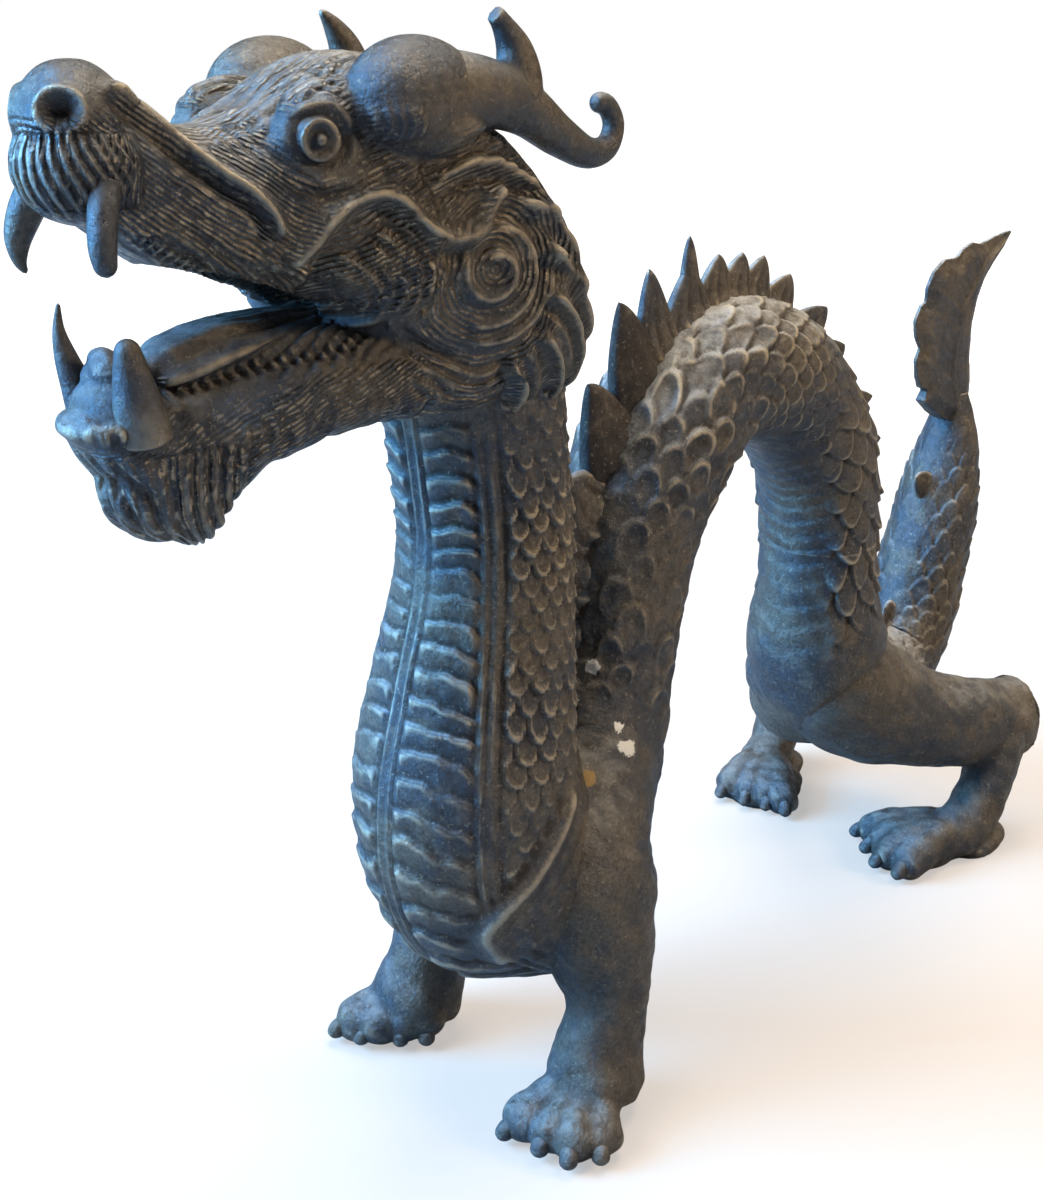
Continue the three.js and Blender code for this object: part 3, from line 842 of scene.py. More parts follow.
# %% Moustache, nose and nostrils
around_nose = skin.turn_about(NOSE_AXIS)
front = ramp(-181, -186, skin.x) * ramp(252, 255, skin.z) * ramp(269.5, 266, skin.z)
skin.strands(around_nose * 13 + 0.16 * skin.base[:, 1] * (skin.z - 262) / 4 + 0.9 * jitter,
             2.1, 0.85, front)
nostril = skin.from_ball((-195, 7.6, 271.4), (1, 1, 0.85))
skin.height += 0.9 * hump(nostril - 4.3, 1.1) - 3.8 * hump(nostril, 2.3)

# %% [markdown]
# The cheek carries a spiral of almost two turns inside an outer arc. Six broad locks flow back
# from it over the nape, each a swelling with strands and a crest along its lower edge.

# %% Spiral, mane locks and hair
SPIRAL = (-111.5, 238.0)
SPIRAL_TURNS, SPIRAL_STEPS = 1.85, 32


def arc(centre, wide, tall, angles):
    return [(centre[0] + wide * math.cos(a), centre[1] + tall * math.sin(a)) for a in angles]


spiral = []
for k in range(SPIRAL_STEPS + 1):
    turn = 2 * math.pi * SPIRAL_TURNS * k / SPIRAL_STEPS - 2.2
    reach = 13.0 - 11.4 * k / SPIRAL_STEPS
    spiral += arc(SPIRAL, reach, 0.92 * reach, [turn])
outer_arc = arc(SPIRAL, 16, 15, np.linspace(-2.3, 1.9, 12))
from_spiral = skin.from_spot(*SPIRAL)
skin.height -= 0.8 * ramp(15.5, 13, from_spiral) * skin.side_facing
skin.crest(spiral, 1.5, 1.9, 0.06)
skin.crest(outer_arc, 1.3, 1.3, 0.2)
BACK_LOCKS = [
    [(-128, 258), (-118, 263), (-107, 262), (-98, 256), (-92, 248)],
    [(-108, 254), (-99, 253.5), (-91, 248), (-86, 240), (-84, 233)],
    [(-99, 246), (-92, 242.5), (-85, 236), (-80, 228), (-78, 221)],
    [(-97, 237), (-90, 232.5), (-83, 226), (-78, 218), (-76, 211)],
    [(-98, 229), (-91, 223), (-84, 216), (-79, 209), (-77, 203)],
    [(-104, 223), (-97, 215), (-91, 209), (-86, 204)],
]
for path in BACK_LOCKS:
    skin.lock(path, 6.4, 2.2, 3, 0.45, 0.2)
    skin.crest([(x - 1.5, z - 4.2) for x, z in path], 1.25, 2.0, 0.15, 0.7)
for path in ([(-137, 250), (-131, 246), (-127, 239), (-128, 232)],
             [(-143, 248), (-136, 242), (-132, 236), (-134, 229)],
             [(-149, 243), (-142, 238), (-138, 233)]):
    skin.lock(path, 4.0, 1.0, 3, 0.35)
mane = (ramp(0.6, 0.1, skin.locks) * ramp(17, 20, from_spiral) * ramp(40, 30, from_spiral)
        * skin.side_facing * ramp(-134, -126, skin.x) * ramp(240, 228, skin.z))
skin.strands(from_spiral + 1.5 * jitter, 3.4, 0.9, mane)
for k in range(4):
    for r in (9.0, 6.2, 3.4):
        skin.crest(arc((-169 + 13.5 * k, 211 + 0.3 * k), r, 0.8 * r, np.linspace(-2.2, 0.7, 8)),
                   1.05, 0.85, 0.25)
print(len(BACK_LOCKS), "locks behind the spiral, up to", skin.locks.max().round(1), "mm high")

# %% [markdown]
# Hair is cut as grooves that follow a number over the skin: rings round the eye for the brow,
# lines along the head on the forehead, and an angle round the chin for the beard.

# %% Brow, forehead and beard
from_eye = skin.from_spot(-147, 264.5)
brow = (ramp(7.5, 9, from_eye) * ramp(22, 15, from_eye) * ramp(258, 264, skin.z)
        * skin.side_facing * off_boss)
skin.strands(from_eye + 1.6 * jitter, 2.1, 0.55, brow)
top = (ramp(0.35, 0.75, skin.out[:, 2]) * ramp(-164, -156, skin.x) * ramp(-92, -100, skin.x)
       * off_boss)
skin.strands(skin.base[:, 1] * (1 + 0.012 * (skin.x + 130)) + 2.2 * jitter, 2.1, 0.6, top)
temple = ramp(-142, -134, skin.x) * ramp(-100, -106, skin.x) * ramp(253, 257, skin.z)
temple = temple * ramp(270, 264, skin.z) * skin.side_facing * off_boss
skin.strands(skin.z - 0.25 * skin.x + 2.5 * jitter, 2.8, 0.5, temple)
EYE = (-148.0, 18.4, 265.3)
rim = skin.from_spot(EYE[0], EYE[2])
skin.height += (0.7 * hump(rim - 6.3, 1.0) - 0.8 * hump(rim, 4.6)) * skin.side_facing
skin.crest([(-157, 261), (-151, 257.5), (-144, 257.5), (-138, 261)], 1.2, 0.8, 0.3, 0.6)
for k in range(5):
    skin.crest([(-139.5 + 1.9 * k, 262 + 0.5 * k), (-138.5 + 1.8 * k, 267), (-140 + 1.5 * k, 272)],
               0.75, 0.9, 0.3)
cheek_hair = (ramp(-146, -140, skin.x) * ramp(-120, -126, skin.x) * ramp(252, 249, skin.z)
              * ramp(232, 236, skin.z) * skin.side_facing)
skin.strands(skin.z + 0.35 * skin.x + 3.5 * jitter, 3.0, 0.45, cheek_hair)
tooth = ramp(221, 224, skin.z) * ramp(-180, -183, skin.x) * ramp(236, 232, skin.z)
skin.height += 0.7 * wobble(skin.base, 27, 2.6) * tooth
beard_turn = skin.turn_about(CHIN_AXIS)
beard = ramp(211, 207, skin.z) * ramp(-163, -168, skin.x)
skin.strands(beard_turn * 14 + 1.6 * jitter, 2.9, 0.9, beard)
skin.height += 0.09 * wobble(skin.base, 25, 1.8) * off_boss
skin.press()
modify(head, "SMOOTH", factor=0.25, iterations=1)


def triangles_of(piece):
    return sum(len(face.vertices) - 2 for face in piece.data.polygons)


HEAD_TRIANGLES = 190000
if triangles_of(head) > HEAD_TRIANGLES:
    modify(head, "DECIMATE", ratio=HEAD_TRIANGLES / triangles_of(head))
print("head", triangles_of(head), "triangles")

# %% [markdown]
# Between the modelled locks the bronze is covered in hair lines too fine to model. They are left
# to the material, but they must follow the form, so each point of the head is given a number
# that grows across the strands. The lines are then the places where that number repeats.

# %% Comb directions for the finest hair


def comb(piece):
    s = Skin(piece)
    ring, nose_turn, chin_turn = (s.from_spot(*SPIRAL), s.turn_about(NOSE_AXIS),
                                  s.turn_about(CHIN_AXIS))
    flows = [  # how strongly a flow holds here, and the number across its strands
        (1.3 * ramp(0.3, 0.9, s.out[:, 2]) * ramp(245, 255, s.z), s.base[:, 1]),
        (1.5 * ramp(-178, -184, s.x) * ramp(252, 256, s.z) * ramp(270, 266, s.z), nose_turn * 13),
        (ramp(-147, -153, s.x) * ramp(226, 230, s.z), s.z + 0.72 * s.x),
        (ramp(-153, -147, s.x) * ramp(-124, -130, s.x) * ramp(229, 233, s.z), s.z - 0.4 * s.x),
        (0.9 * ramp(-130, -122, s.x) * ramp(30, 5, s.z - 236), ring),
        (0.9 * ramp(-140, -130, s.x) * ramp(250, 258, s.z), s.z - 0.3 * s.x),
        (0.9 * ramp(224, 218, s.z) * ramp(-118, -126, s.x), s.z - 0.5 * s.x),
        (1.2 * ramp(-162, -168, s.x) * ramp(212, 207, s.z), chin_turn * 14),
    ]
    hold = np.stack([weight for weight, _ in flows])
    order = np.argsort(hold, axis=0)
    every = np.arange(len(s.x))
    best, second = hold[order[-1], every], hold[order[-2], every]
    number = np.stack([value for _, value in flows])[order[-1], every]
    boss = s.from_ball(BOSS, BOSS_REACH)
    mask = ramp(0, 0.2, best - second) * ramp(0.1, 0.5, best) * ramp(0.95, 1.15, boss)
    mask *= 1 - ramp(-182, -186, s.x) * ramp(268, 272, s.z)
    # none on the tongue, the gums, the palate or the eye sockets
    mask *= 1 - ramp(0.25, 0.6, np.abs(s.out[:, 2])) * ramp(238, 234, s.z) * ramp(213, 216, s.z)
    mask *= 1 - ramp(-179, -182, s.x) * ramp(238, 234, s.z) * ramp(208, 211, s.z)
    mask *= ramp(6.5, 8.0, s.from_spot(EYE[0], EYE[2]))
    number = number + 0.5 * wobble(s.base, 41, 5)
    nose = s.from_ball((-188, 0, 271), (11, 11.5, 9))
    polish = np.maximum(ramp(1.15, 0.95, boss), ramp(1.15, 0.95, nose))
    for name, values in (("strand", number), ("hair", mask), ("polish", polish)):
        store(piece, name, values)
    print("hair lines cover", round(100 * mask.mean()), "percent of the", piece.name)


comb(head)

# %% [markdown]
# ## Eyes, fangs and horns
# These were made with finer tools than the skin, so each is a piece of its own: an eye is a ball
# with a turned ring and a drilled pupil, a fang is a tapering bent cone, and a horn is a tube
# that forks and curls. All are set a little into the head.

# %% Eyes
EYE_SIZE = 5.3


def eye(side):
    piece = ball("eye", (0, 0, 0), (1, 1, 1), 56, 40)
    place = get_mm(piece)
    place /= np.linalg.norm(place, axis=1)[:, None]
    look = np.array([-0.32, side * 0.93, -0.05])
    look /= np.linalg.norm(look)
    off = np.degrees(np.arccos(np.clip(place @ look, -1, 1)))
    height = (0.5 * hump(off - 44, 5) - 1.0 * hump(off - 28, 9) - 0.9 * ramp(34, 28, off)
              + 0.9 * hump(off, 9) - 0.9 * hump(off, 3.5))
    points = place * (EYE_SIZE * (0.93 + 0.07 * np.cos(np.radians(off)) ** 2) + height)[:, None]
    set_mm(piece, points + [EYE[0], side * EYE[1], EYE[2]])
    return piece


eyes = join([eye(1), eye(-1)], "eyes")
print("eyes", triangles_of(eyes), "triangles")

# %% [markdown]
# Two fangs hang from the upper jaw and two stand in the lower one. Each is a tube that tapers to
# a point along a slightly bent path; the two on the dragon's left are broken short.

# %% Fangs


def fang(stations, side):
    return limb("fang", on_side(stations, side), 20, 0.4, ends=(0, 1))


UPPER_FANG = [(-189, 10.5, 259, 3.6), (-192, 12.6, 253, 3.3), (-193.6, 13.6, 248, 2.5),
              (-193.8, 13.4, 244, 1.3), (-193, 13, 241.8, 0.4)]
UPPER_FANG_BLUNT = [(-189, 10.2, 259, 2.9), (-191.6, 12.2, 253, 2.7), (-192.6, 13.0, 248, 2.5),
                    (-192.2, 13.0, 243.4, 1.8)]
LOWER_FANG = [(-186, 8.6, 213, 3.8), (-187, 9.2, 219, 3.3), (-188.6, 10, 226, 2.2),
              (-189.2, 10.4, 231, 1.2), (-188.6, 10.6, 236, 0.35)]
LOWER_FANG_BLUNT = [(-184.5, 8, 212, 5.4), (-185.6, 8.6, 218, 4.9), (-186.8, 9.2, 225, 3.5),
                    (-187.8, 9.8, 231.6, 2.0)]
fangs = join([fang(UPPER_FANG, 1), fang(UPPER_FANG_BLUNT, -1), fang(LOWER_FANG, 1),
              fang(LOWER_FANG_BLUNT, -1)], "fangs")
print("fangs", triangles_of(fangs), "triangles; two of the four are broken short")

# %% [markdown]
# A horn is two tubes, the beam that curls at its end and the prong, melted into one by a voxel
# remesh and smoothed, which also rounds the fork. The left prong has lost its point.

# %% Horns
HORN_CELL = 0.6
HORN_BEAM = [
    (-128, 22, 271, 10.5), (-117, 23.5, 272.5, 9), (-107, 25.3, 272.5, 7), (-97, 26, 269.5, 5.6),
    (-86, 26.5, 263.5, 4.4), (-76, 27, 259.6, 3.4), (-69.8, 27, 261, 2.8), (-67.8, 27, 265.5, 2.5),
    (-70.2, 26.6, 269.6, 2.4), (-74.6, 26.2, 270.2, 2.4),
]
HORN_PRONG = [(-101, 26, 268, 6.2), (-98.6, 26, 275, 5.2), (-99.8, 26, 281, 3.9),
              (-103.4, 25.9, 286, 2.3), (-107.4, 25.8, 289.6, 0.6)]
HORN_PRONG_BROKEN = HORN_PRONG[:-1] + [(-105.6, 25.9, 288, 1.9)]


def horn(side):
    prong = HORN_PRONG if side > 0 else HORN_PRONG_BROKEN
    parts = [limb("horn", on_side(line, side), 28, 0.7,
                  ends=(1, 0 if line is HORN_PRONG_BROKEN else 1))
             for line in (HORN_BEAM, prong)]
    piece = join(parts, "horn")
    modify(piece, "REMESH", mode="VOXEL", voxel_size=HORN_CELL * MM)
    modify(piece, "SMOOTH", factor=0.5, iterations=5)
    return piece


horns = join([horn(1), horn(-1)], "horns")
print("horns", triangles_of(horns), "triangles")

# %% [markdown]
# ## Legs
# The legs are thick and smooth beside the scaled body. Each is a chain of round masses pressed
# into one skin, with four broad toes that end in small blunt claws. The soles are cut flat, so
# that the casting stands without rocking.

# %% Leg tables
FRONT_FEET = {  # how far forward the foot stands, and the toe tips x, y
    1: (6, [(-87.9, 20.9), (-93.6, 26.5), (-101.1, 36.2), (-104, 44.6)]),
    -1: (0, [(-102.6, 23.2), (-100.9, 34.9), (-99.2, 44), (-91.9, 49.5)]),
}
HIND_FEET = {
    1: [(102.7, 16.1), (101.5, 24.5), (99.1, 33.2), (98.1, 44)],
    -1: [(107.3, 10.8), (98.8, 19.9), (91.8, 27.9), (90.1, 38.2)],
}
SHIN = [
    (154, 43, 46, 11.5), (148, 44.5, 34, 10.4), (141, 45, 21, 9.2), (135, 44, 12, 9.8),
    (126, 41.5, 8, 10), (112, 35, 6, 9),
]
HEEL = [(122, 39, 2, 13, 0.5), (134, 43, 1.5, 12, 0.5), (146, 45, 1, 9.2, 0.5),
        (154, 47.5, 0.8, 6, 0.5)]
HOCK_END = (173, 44, 41, 12.2, 1.25)  # beyond the square cut
TOE = [(0.45, 8.2, 7.2), (0.70, 6.4, 6.8), (0.84, 4.8, 6.0), (0.95, 3.3, 4.7)]
CLAW = [(0.86, 7.0, 1.8), (0.93, 5.4, 2.5), (0.98, 3.4, 2.5), (1.0, 1.7, 1.7)]
FOOT_CELL = 0.85
ELBOW = (-57, 88)  # x, z


def toes_and_claws(root, forward, tips, side):
    """TOE and CLAW give the share of the way to the tip, the height and the radius."""
    flesh, claws = [], []
    for tip_x, tip_y in tips:
        start = np.array([root[0] - forward, root[1]], float)
        way = np.array([tip_x, tip_y]) - start

        def station(share, height, radius):
            x, y = start + way * share
            return [x, side * y, height, radius]

        flesh.append(limb("toe", [station(*row) for row in [(0.05, root[2], 8.0)] + TOE], 20, 1.0))
        claws.append(limb("claw", [station(*row) for row in CLAW], 18, 0.6))
    return flesh, claws


print("toes", sum(len(tips) for _, tips in FRONT_FEET.values())
      + sum(len(tips) for tips in HIND_FEET.values()))

# %% [markdown]
# Pressing the masses together leaves seams, so the skin is relaxed before it gets its dents and
# the wrinkles round the elbow. The claws stay apart from the remesh, which would blur them.

# %% One leg


def ground(piece):
    """Cut the sole flat."""
    points = points_of(piece)
    points[:, 2] = np.maximum(points[:, 2], 0)
    set_points(piece, points)


def leg(name, masses, claws, rounds=14, cut=None):
    """Press masses into one skin; cut is a point and direction that square off its end."""
    piece = join(masses, name)
    modify(piece, "REMESH", mode="VOXEL", voxel_size=FOOT_CELL * 1 * MM)
    relax(piece, rounds)
    if cut is not None:
        place = get_mm(piece)
        over = np.clip((place - cut[0]) @ cut[1], 0, None)
        set_mm(piece, place - over[:, None] * cut[1])
    ground(piece)
    place, out = get_mm(piece), normals_of(piece)
    height = 0.55 * wobble(place, 31, 7) + 0.34 * wobble(place, 32, 3.2)
    from_elbow = np.hypot(place[:, 0] - ELBOW[0], place[:, 2] - ELBOW[1])
    outside = ramp(12, 18, np.abs(place[:, 1])) * ramp(17, 13, from_elbow)
    for ring in (3.5, 8.0, 12.5):
        height += 0.45 * outside * hump(from_elbow - ring + 1.5 * wobble(place, 33, 9), 1.4)
    height += fillet(distance_to(BODY_SPHERES, place))
    set_mm(piece, place + out * (height * ramp(1, 4, place[:, 2]))[:, None])
    horny = join(claws, "claws")
    ground(horny)
    mark_relief(piece)
    mark_relief(horny)
    return join([piece, horny], name)


# %% [markdown]
# The front legs are pillars that widen into a paw. A hind leg folds: the thigh runs back from
# the hip to a square cut, and the shin comes forward again to the foot. The feet stand unevenly,
# so each side has its own toe tips.

# %% Four legs


def front_leg(side):
    forward, tips = FRONT_FEET[side]
    shaft = on_side([(x - forward * ramp(60, 25, z), y, z, r) for x, y, z, r in FRONT_LEG], side)
    flesh, claws = toes_and_claws((-74, 32, 11), forward, tips, side)
    middle = np.mean(tips, axis=0)
    instep = [[-68.5, 31, 40, 9, 1], [-71, 31.5, 27, 10.6, 1], [-76, 32, 16.5, 11.4, 0.95],
              [-81, 32 + 0.3 * (middle[1] - 32), 9.5, 12.6, 0.75],
              [-86, 32 + 0.5 * (middle[1] - 32), 4, 12.8, 0.6]]
    paw = limb("paw", [[x - forward, side * y, z, r, tall] for x, y, z, r, tall in instep], 28, 1.0)
    masses = [limb("leg", shaft, 32, 1.5, ends=(1, 0.4)), paw] + flesh
    return leg("front_leg_" + ("right" if side > 0 else "left"), masses, claws)


def hind_leg(side):
    tips = HIND_FEET[side]
    thigh, shin, heel, hip = (on_side(line, side)
                              for line in (HIND_LEG + [HOCK_END], SHIN, HEEL, HIP))
    flesh, claws = toes_and_claws((128, 41, 9), 0, tips, side)
    middle = np.mean(tips, axis=0)
    paw = ball("paw", (117, side * (40 + 0.45 * (middle[1] - 40)), 4), (17, 14.5, 8.5))
    masses = [limb("thigh", thigh, 36, 1.5, ends=(1, 0)), limb("shin", shin, 28, 1.2), paw,
              limb("heel", heel, 28, 1.0), limb("hip", hip, 32, 1.5)] + flesh
    cut = (np.array([165.2, side * 42.4, 42]), np.array([0.965, side * 0.2, -0.17]))
    return leg("hind_leg_" + ("right" if side > 0 else "left"), masses, claws, 9, cut)


legs = [front_leg(1), front_leg(-1), hind_leg(1), hind_leg(-1)]
print("legs", [triangles_of(piece) for piece in legs], "triangles")

# %% [markdown]
# ## Fins and tail blade
# Flat flame-shaped fins stand along the back, tall where the body climbs to its arch and where it
# comes down again, low on the neck and hips. One fin is a small closed blade with a thick root,
# a swept blunt tip and two or three flutes. All of them are placed by the same rule along the
# body line.

# %% Fins


def row(first, last, count):
    return [first + (last - first) * (k / (count - 1)) for k in range(count)]


FINS = [  # places along the body, height, length, thickness, lean
    (row(22, 140, 9), 5.0, 15, 4.4, 0.5), (row(230, 306, 6), 11, 22, 8.5, 0.75),
    ([322], 15, 22, 9.0, 0.7), ([337], 23, 20, 8, 0.45), ([346], 20, 15, 6.5, 0.45),
    ([356], 13.5, 18, 6.5, 0.5), ([358], 20.5, 6.5, 5.0, 0.25), ([364], 12, 14, 5.6, 0.3),
    ([370], 12, 14, 5.4, 0.3), ([377], 11.5, 14, 5.4, 0.3), ([388], 10.8, 15, 5.0, 0.4),
    ([404], 10.5, 15, 4.8, 0.6), ([417], 10.4, 14, 4.6, 0.6), ([435], 17.5, 10, 4.2, 0.5),
    ([446], 22.5, 11, 4.4, 0.4), ([457], 27, 12, 5.0, 0.6), (row(484, 590, 9), 4.2, 11, 4.0, 0.6),
    ([648], 7.5, 8, 4.0, 0.3),
]
FIN_ROOT = 4.0  # how deep a fin is set into the back


def fin(run, height, length, thick, lean):
    """One flame: a small grid folded into a closed blade and bent along the body."""
    cells, turns = (24, 26) if height > 8 else (16, 20)
    piece, u, v = sheet("fin", cells, turns)
    turn = 2 * math.pi * v
    level = (height + FIN_ROOT) * u - FIN_ROOT
    rise = np.clip(level / height, 0, 1)
    half = 0.5 * length * (1 - rise ** 1.6) + 1.4 * (1 - rise ** 9)
    flare = 1 + 0.6 * ramp(0.25, -0.3, level / height)
    wide = 0.5 * thick * flare * (1 - 0.55 * rise) * np.sqrt(np.clip(1 - rise ** 6, 0.03, 1))
    wide *= 1 - 0.14 * np.cos(3.4 * math.pi * np.cos(turn) + 0.5) * ramp(0.9, 0.3, rise)
    drift = lean * height * rise ** 1.3
    along = drift + half * np.cos(turn)
    side = wide * np.sign(np.sin(turn)) * np.abs(np.sin(turn)) ** 0.8
    base = skin_point(np.full(len(u), float(run)), np.zeros(len(u)), level)
    way = np.array([np.interp(run, line_run, line_along[:, k]) for k in range(3)])
    bend = np.interp(run, line_run, line_bend)
    sag = 0.5 * bend * along ** 2 * (1 - rise)
    back = np.array([np.interp(run, line_run, line_back[:, k]) for k in range(3)])
    points = base + along[:, None] * way + sag[:, None] * back
    points[:, 1] += side
    return roll_up(piece, points)


fin_pieces = []
for places, height, length, thick, lean in FINS:
    for k, run in enumerate(places):
        size = 1 + 0.08 * math.sin(5.1 * k + places[0])
        fin_pieces.append(fin(run, height * size, length, thick, lean))
fins = join(fin_pieces, "back_fins")
print(len(fin_pieces), "fins,", triangles_of(fins), "triangles")

# %% [markdown]
# The tail ends in a lobed blade. Its outline is a flat polygon, extruded and remeshed, then
# thinned towards the edge; the faint veins are lines in the side view, like the head's strokes.

# %% Tail blade
BLADE_CELL = 0.62
BLADE_HALF = 2.5  # half its thickness
TAIL_BLADE = [
    (170, 150), (164, 152.5), (158, 155.5), (149, 161), (151.5, 165), (147.5, 166.2),
    (143.8, 171), (142, 177), (144.5, 181), (140.5, 185.5), (138.8, 191.5), (142.5, 196.8),
    (145.8, 197.4), (145.6, 202), (149.5, 207.5), (157, 211), (166.5, 210.8), (170.5, 213.4),
    (178, 215.2), (184.5, 214), (198, 216), (210.5, 217), (204.5, 211.2), (197.4, 206.4),
    (190.8, 201), (186.5, 194), (184.2, 185), (184.8, 173.5), (185.5, 164), (183, 152),
]
VEINS = [
    [(172, 152), (168, 172), (172, 192), (187, 207), (207, 215)],
    [(169, 156), (160, 160), (153, 165.5)], [(167, 166), (157, 171), (146, 177)],
    [(166, 175), (156, 181), (144.5, 187)], [(166.5, 184), (156, 190), (141.5, 195)],
    [(169, 191), (160, 197), (146, 203)], [(174, 198), (168, 204), (156, 209.5)],
    [(181, 204), (178, 210), (170, 214.5)],
]


def tail_blade():
    deselect()
    bpy.ops.mesh.primitive_circle_add(vertices=len(TAIL_BLADE), radius=1, fill_type="NGON")
    piece = bpy.context.object
    set_mm(piece, np.array([(x, BLADE_HALF, z) for x, z in TAIL_BLADE]))

    def thicken():
        down = (0, -2 * BLADE_HALF * MM, 0)
        bpy.ops.mesh.extrude_region_move(TRANSFORM_OT_translate={"value": down})
        bpy.ops.mesh.select_all(action="SELECT")

    edit(piece, thicken, point_out)
    modify(piece, "REMESH", mode="VOXEL", voxel_size=BLADE_CELL * MM)
    modify(piece, "SMOOTH", factor=0.5, iterations=4)
    points = get_mm(piece)
    spots = points[:, [0, 2]]
    edge = line_gap(spots, TAIL_BLADE + TAIL_BLADE[:1])
    thin = 0.28 + 0.72 * ramp(0, 6.5, edge)
    root = ramp(176, 150, points[:, 2])
    vein = np.zeros(len(points))
    for number, path in enumerate(VEINS):
        gap = line_gap(spots, path)
        vein += (0.25 if number else 0.55) * hump(gap, 1.0) - 0.12 * hump(gap - 2.2, 0.8)
    face = np.sign(points[:, 1]) * ramp(0.3, 1.2, np.abs(points[:, 1]))
    points[:, 1] = points[:, 1] * (thin + 0.9 * root) + face * vein * ramp(0.5, 3, edge)
    set_mm(piece, points)
    piece.name = "tail_blade"
    return piece


blade = tail_blade()
print("tail blade", triangles_of(blade), "triangles")
other_pieces = [head, eyes, fangs, horns, *legs, fins, blade]

# %% [markdown]
# ## Patina
# Old bronze is dark brown where dirt and oxide stay in the hollows, worn to a dull tan on every
# rim that hands have touched, and bluish black on the broad faces. The wear follows the shape,
# so each piece carries numbers that say how raised each point stands over its neighbours. They
# are measured from the finished mesh, and the material only has to colour them.
# The materials are long chains of small sums, so a class first makes a sum one short line.

# %% Short ways to build nodes


def new_group(name, inputs, outputs):
    group = bpy.data.node_groups.new(name, "ShaderNodeTree")
    for label, kind, value in inputs:
        socket = group.interface.new_socket(label, in_out="INPUT", socket_type=kind)
        socket.default_value = value
    for label, kind in outputs:
        group.interface.new_socket(label, in_out="OUTPUT", socket_type=kind)
    return group, group.nodes.new("NodeGroupInput"), group.nodes.new("NodeGroupOutput")


class Nodes:
    """Short ways to add and link shader nodes in one tree."""

    def __init__(self, tree):
        self.tree = tree

    def add(self, kind, **settings):
        node = self.tree.nodes.new(kind)
        for name, value in settings.items():
            setattr(node, name, value)
        return node

    def link(self, source, target):
        self.tree.links.new(source, target)

    def attribute(self, name):
        return self.add("ShaderNodeAttribute", attribute_name=name).outputs["Fac"]

    def value(self, operation, first, second=None, third=None):
        node = self.add("ShaderNodeMath", operation=operation)
        for slot, item in enumerate((first, second, third)):
            if isinstance(item, (int, float)):
                node.inputs[slot].default_value = item
            elif item is not None:
                self.link(item, node.inputs[slot])
        return node.outputs[0]

    def times(self, first, second):
        return self.value("MULTIPLY", first, second)

    def plus(self, first, second):
        return self.value("ADD", first, second)

    def minus(self, first, second):
        return self.value("SUBTRACT", first, second)

    def between(self, item, low, high, to_low=0.0, to_high=1.0):
        node = self.add("ShaderNodeMapRange", interpolation_type="SMOOTHSTEP")
        self.link(item, node.inputs["Value"])
        for label, number in (("From Min", low), ("From Max", high), ("To Min", to_low),
                              ("To Max", to_high)):
            node.inputs[label].default_value = number
        return node.outputs["Result"]

    def noise(self, place, scale, detail=4.0, rough=0.55):
        node = self.add("ShaderNodeTexNoise")
        self.link(place, node.inputs["Vector"])
        node.inputs["Scale"].default_value = scale
        node.inputs["Detail"].default_value = detail
        node.inputs["Roughness"].default_value = rough
        return node.outputs["Fac"]

    def mix(self, share, first, second):
        node = self.add("ShaderNodeMix", data_type="RGBA")
        for socket, item in ((node.inputs[0], share), (node.inputs[6], first),
                             (node.inputs[7], second)):
            if isinstance(item, tuple):
                socket.default_value = (*item, 1)
            elif isinstance(item, (int, float)):
                socket.default_value = item
            else:
                self.link(item, socket)
        return node.outputs[2]


# %% [markdown]
# Edge wear is used by every bronze on the statue, so it is a node group with named inputs. The
# shader itself stays in the material. A rim shows bare metal where it stands out, broken up by
# fine and coarse noise, so that the edge of the wear is never a clean line.

# %% The rim wear group


def wear_group():
    """How much metal shows on rims: raised places, broken up by fine and coarse noise."""
    group, given, out = new_group(
        "rim wear", [("Place", "NodeSocketVector", (0, 0, 0)), ("Amount", "NodeSocketFloat", 1.0)],
        [("Worn", "NodeSocketFloat"), ("Hollow", "NodeSocketFloat")])
    n = Nodes(group)
    place = given.outputs["Place"]
    edge = n.plus(n.times(n.minus(n.attribute("rim"), 0.5), 1.1),
                  n.times(n.minus(n.attribute("relief"), 0.5), 0.65))
    broken = n.plus(edge, n.times(n.minus(n.noise(place, 420, 3, 0.7), 0.5), 0.55))
    broken = n.plus(broken, n.times(n.minus(n.noise(place, 70, 3), 0.5), 0.4))
    n.link(n.times(n.between(broken, 0.22, 0.95), given.outputs["Amount"]), out.inputs["Worn"])
    n.link(n.between(edge, -0.05, -0.6), out.inputs["Hollow"])
    return group


WEAR = wear_group()
print("rim wear group with", len(WEAR.nodes), "nodes")

# %% [markdown]
# A few specks of white paint and a patch of earth are caught where the near front leg meets the
# body. A speck is the distance from a point, made ragged by noise.

# %% Specks
PAINT_SPOTS = [((-51.1, -10.6, 122.6), 2.3), ((-55.3, -8.2, 113.9), 1.6),
               ((-51.9, -24.0, 102.6), 2.8), ((-51.5, -20.4, 108.2), 1.7)]
EARTH_SPOTS = [((-66.0, -21.5, 98.0), 2.6), ((-68.5, -23.3, 92.5), 2.3)]


def spotted(n, place, spots):
    """A mask of ragged spots: the nearest one wins."""
    mask = 0.0
    ragged = n.value("MULTIPLY", n.value("SUBTRACT", n.noise(place, 420, 3, 0.7), 0.5), 0.0042)
    for centre, radius in spots:
        away = n.add("ShaderNodeVectorMath", operation="DISTANCE")
        n.link(place, away.inputs[0])
        away.inputs[1].default_value = ((np.array(centre) + [SHIFT, 0, 0]) * MM).tolist()
        gap = n.value("ADD", away.outputs["Value"], ragged)
        spot = n.between(gap, radius * MM, 0.8 * radius * MM)
        mask = n.value("MAXIMUM", mask, spot)
    return mask
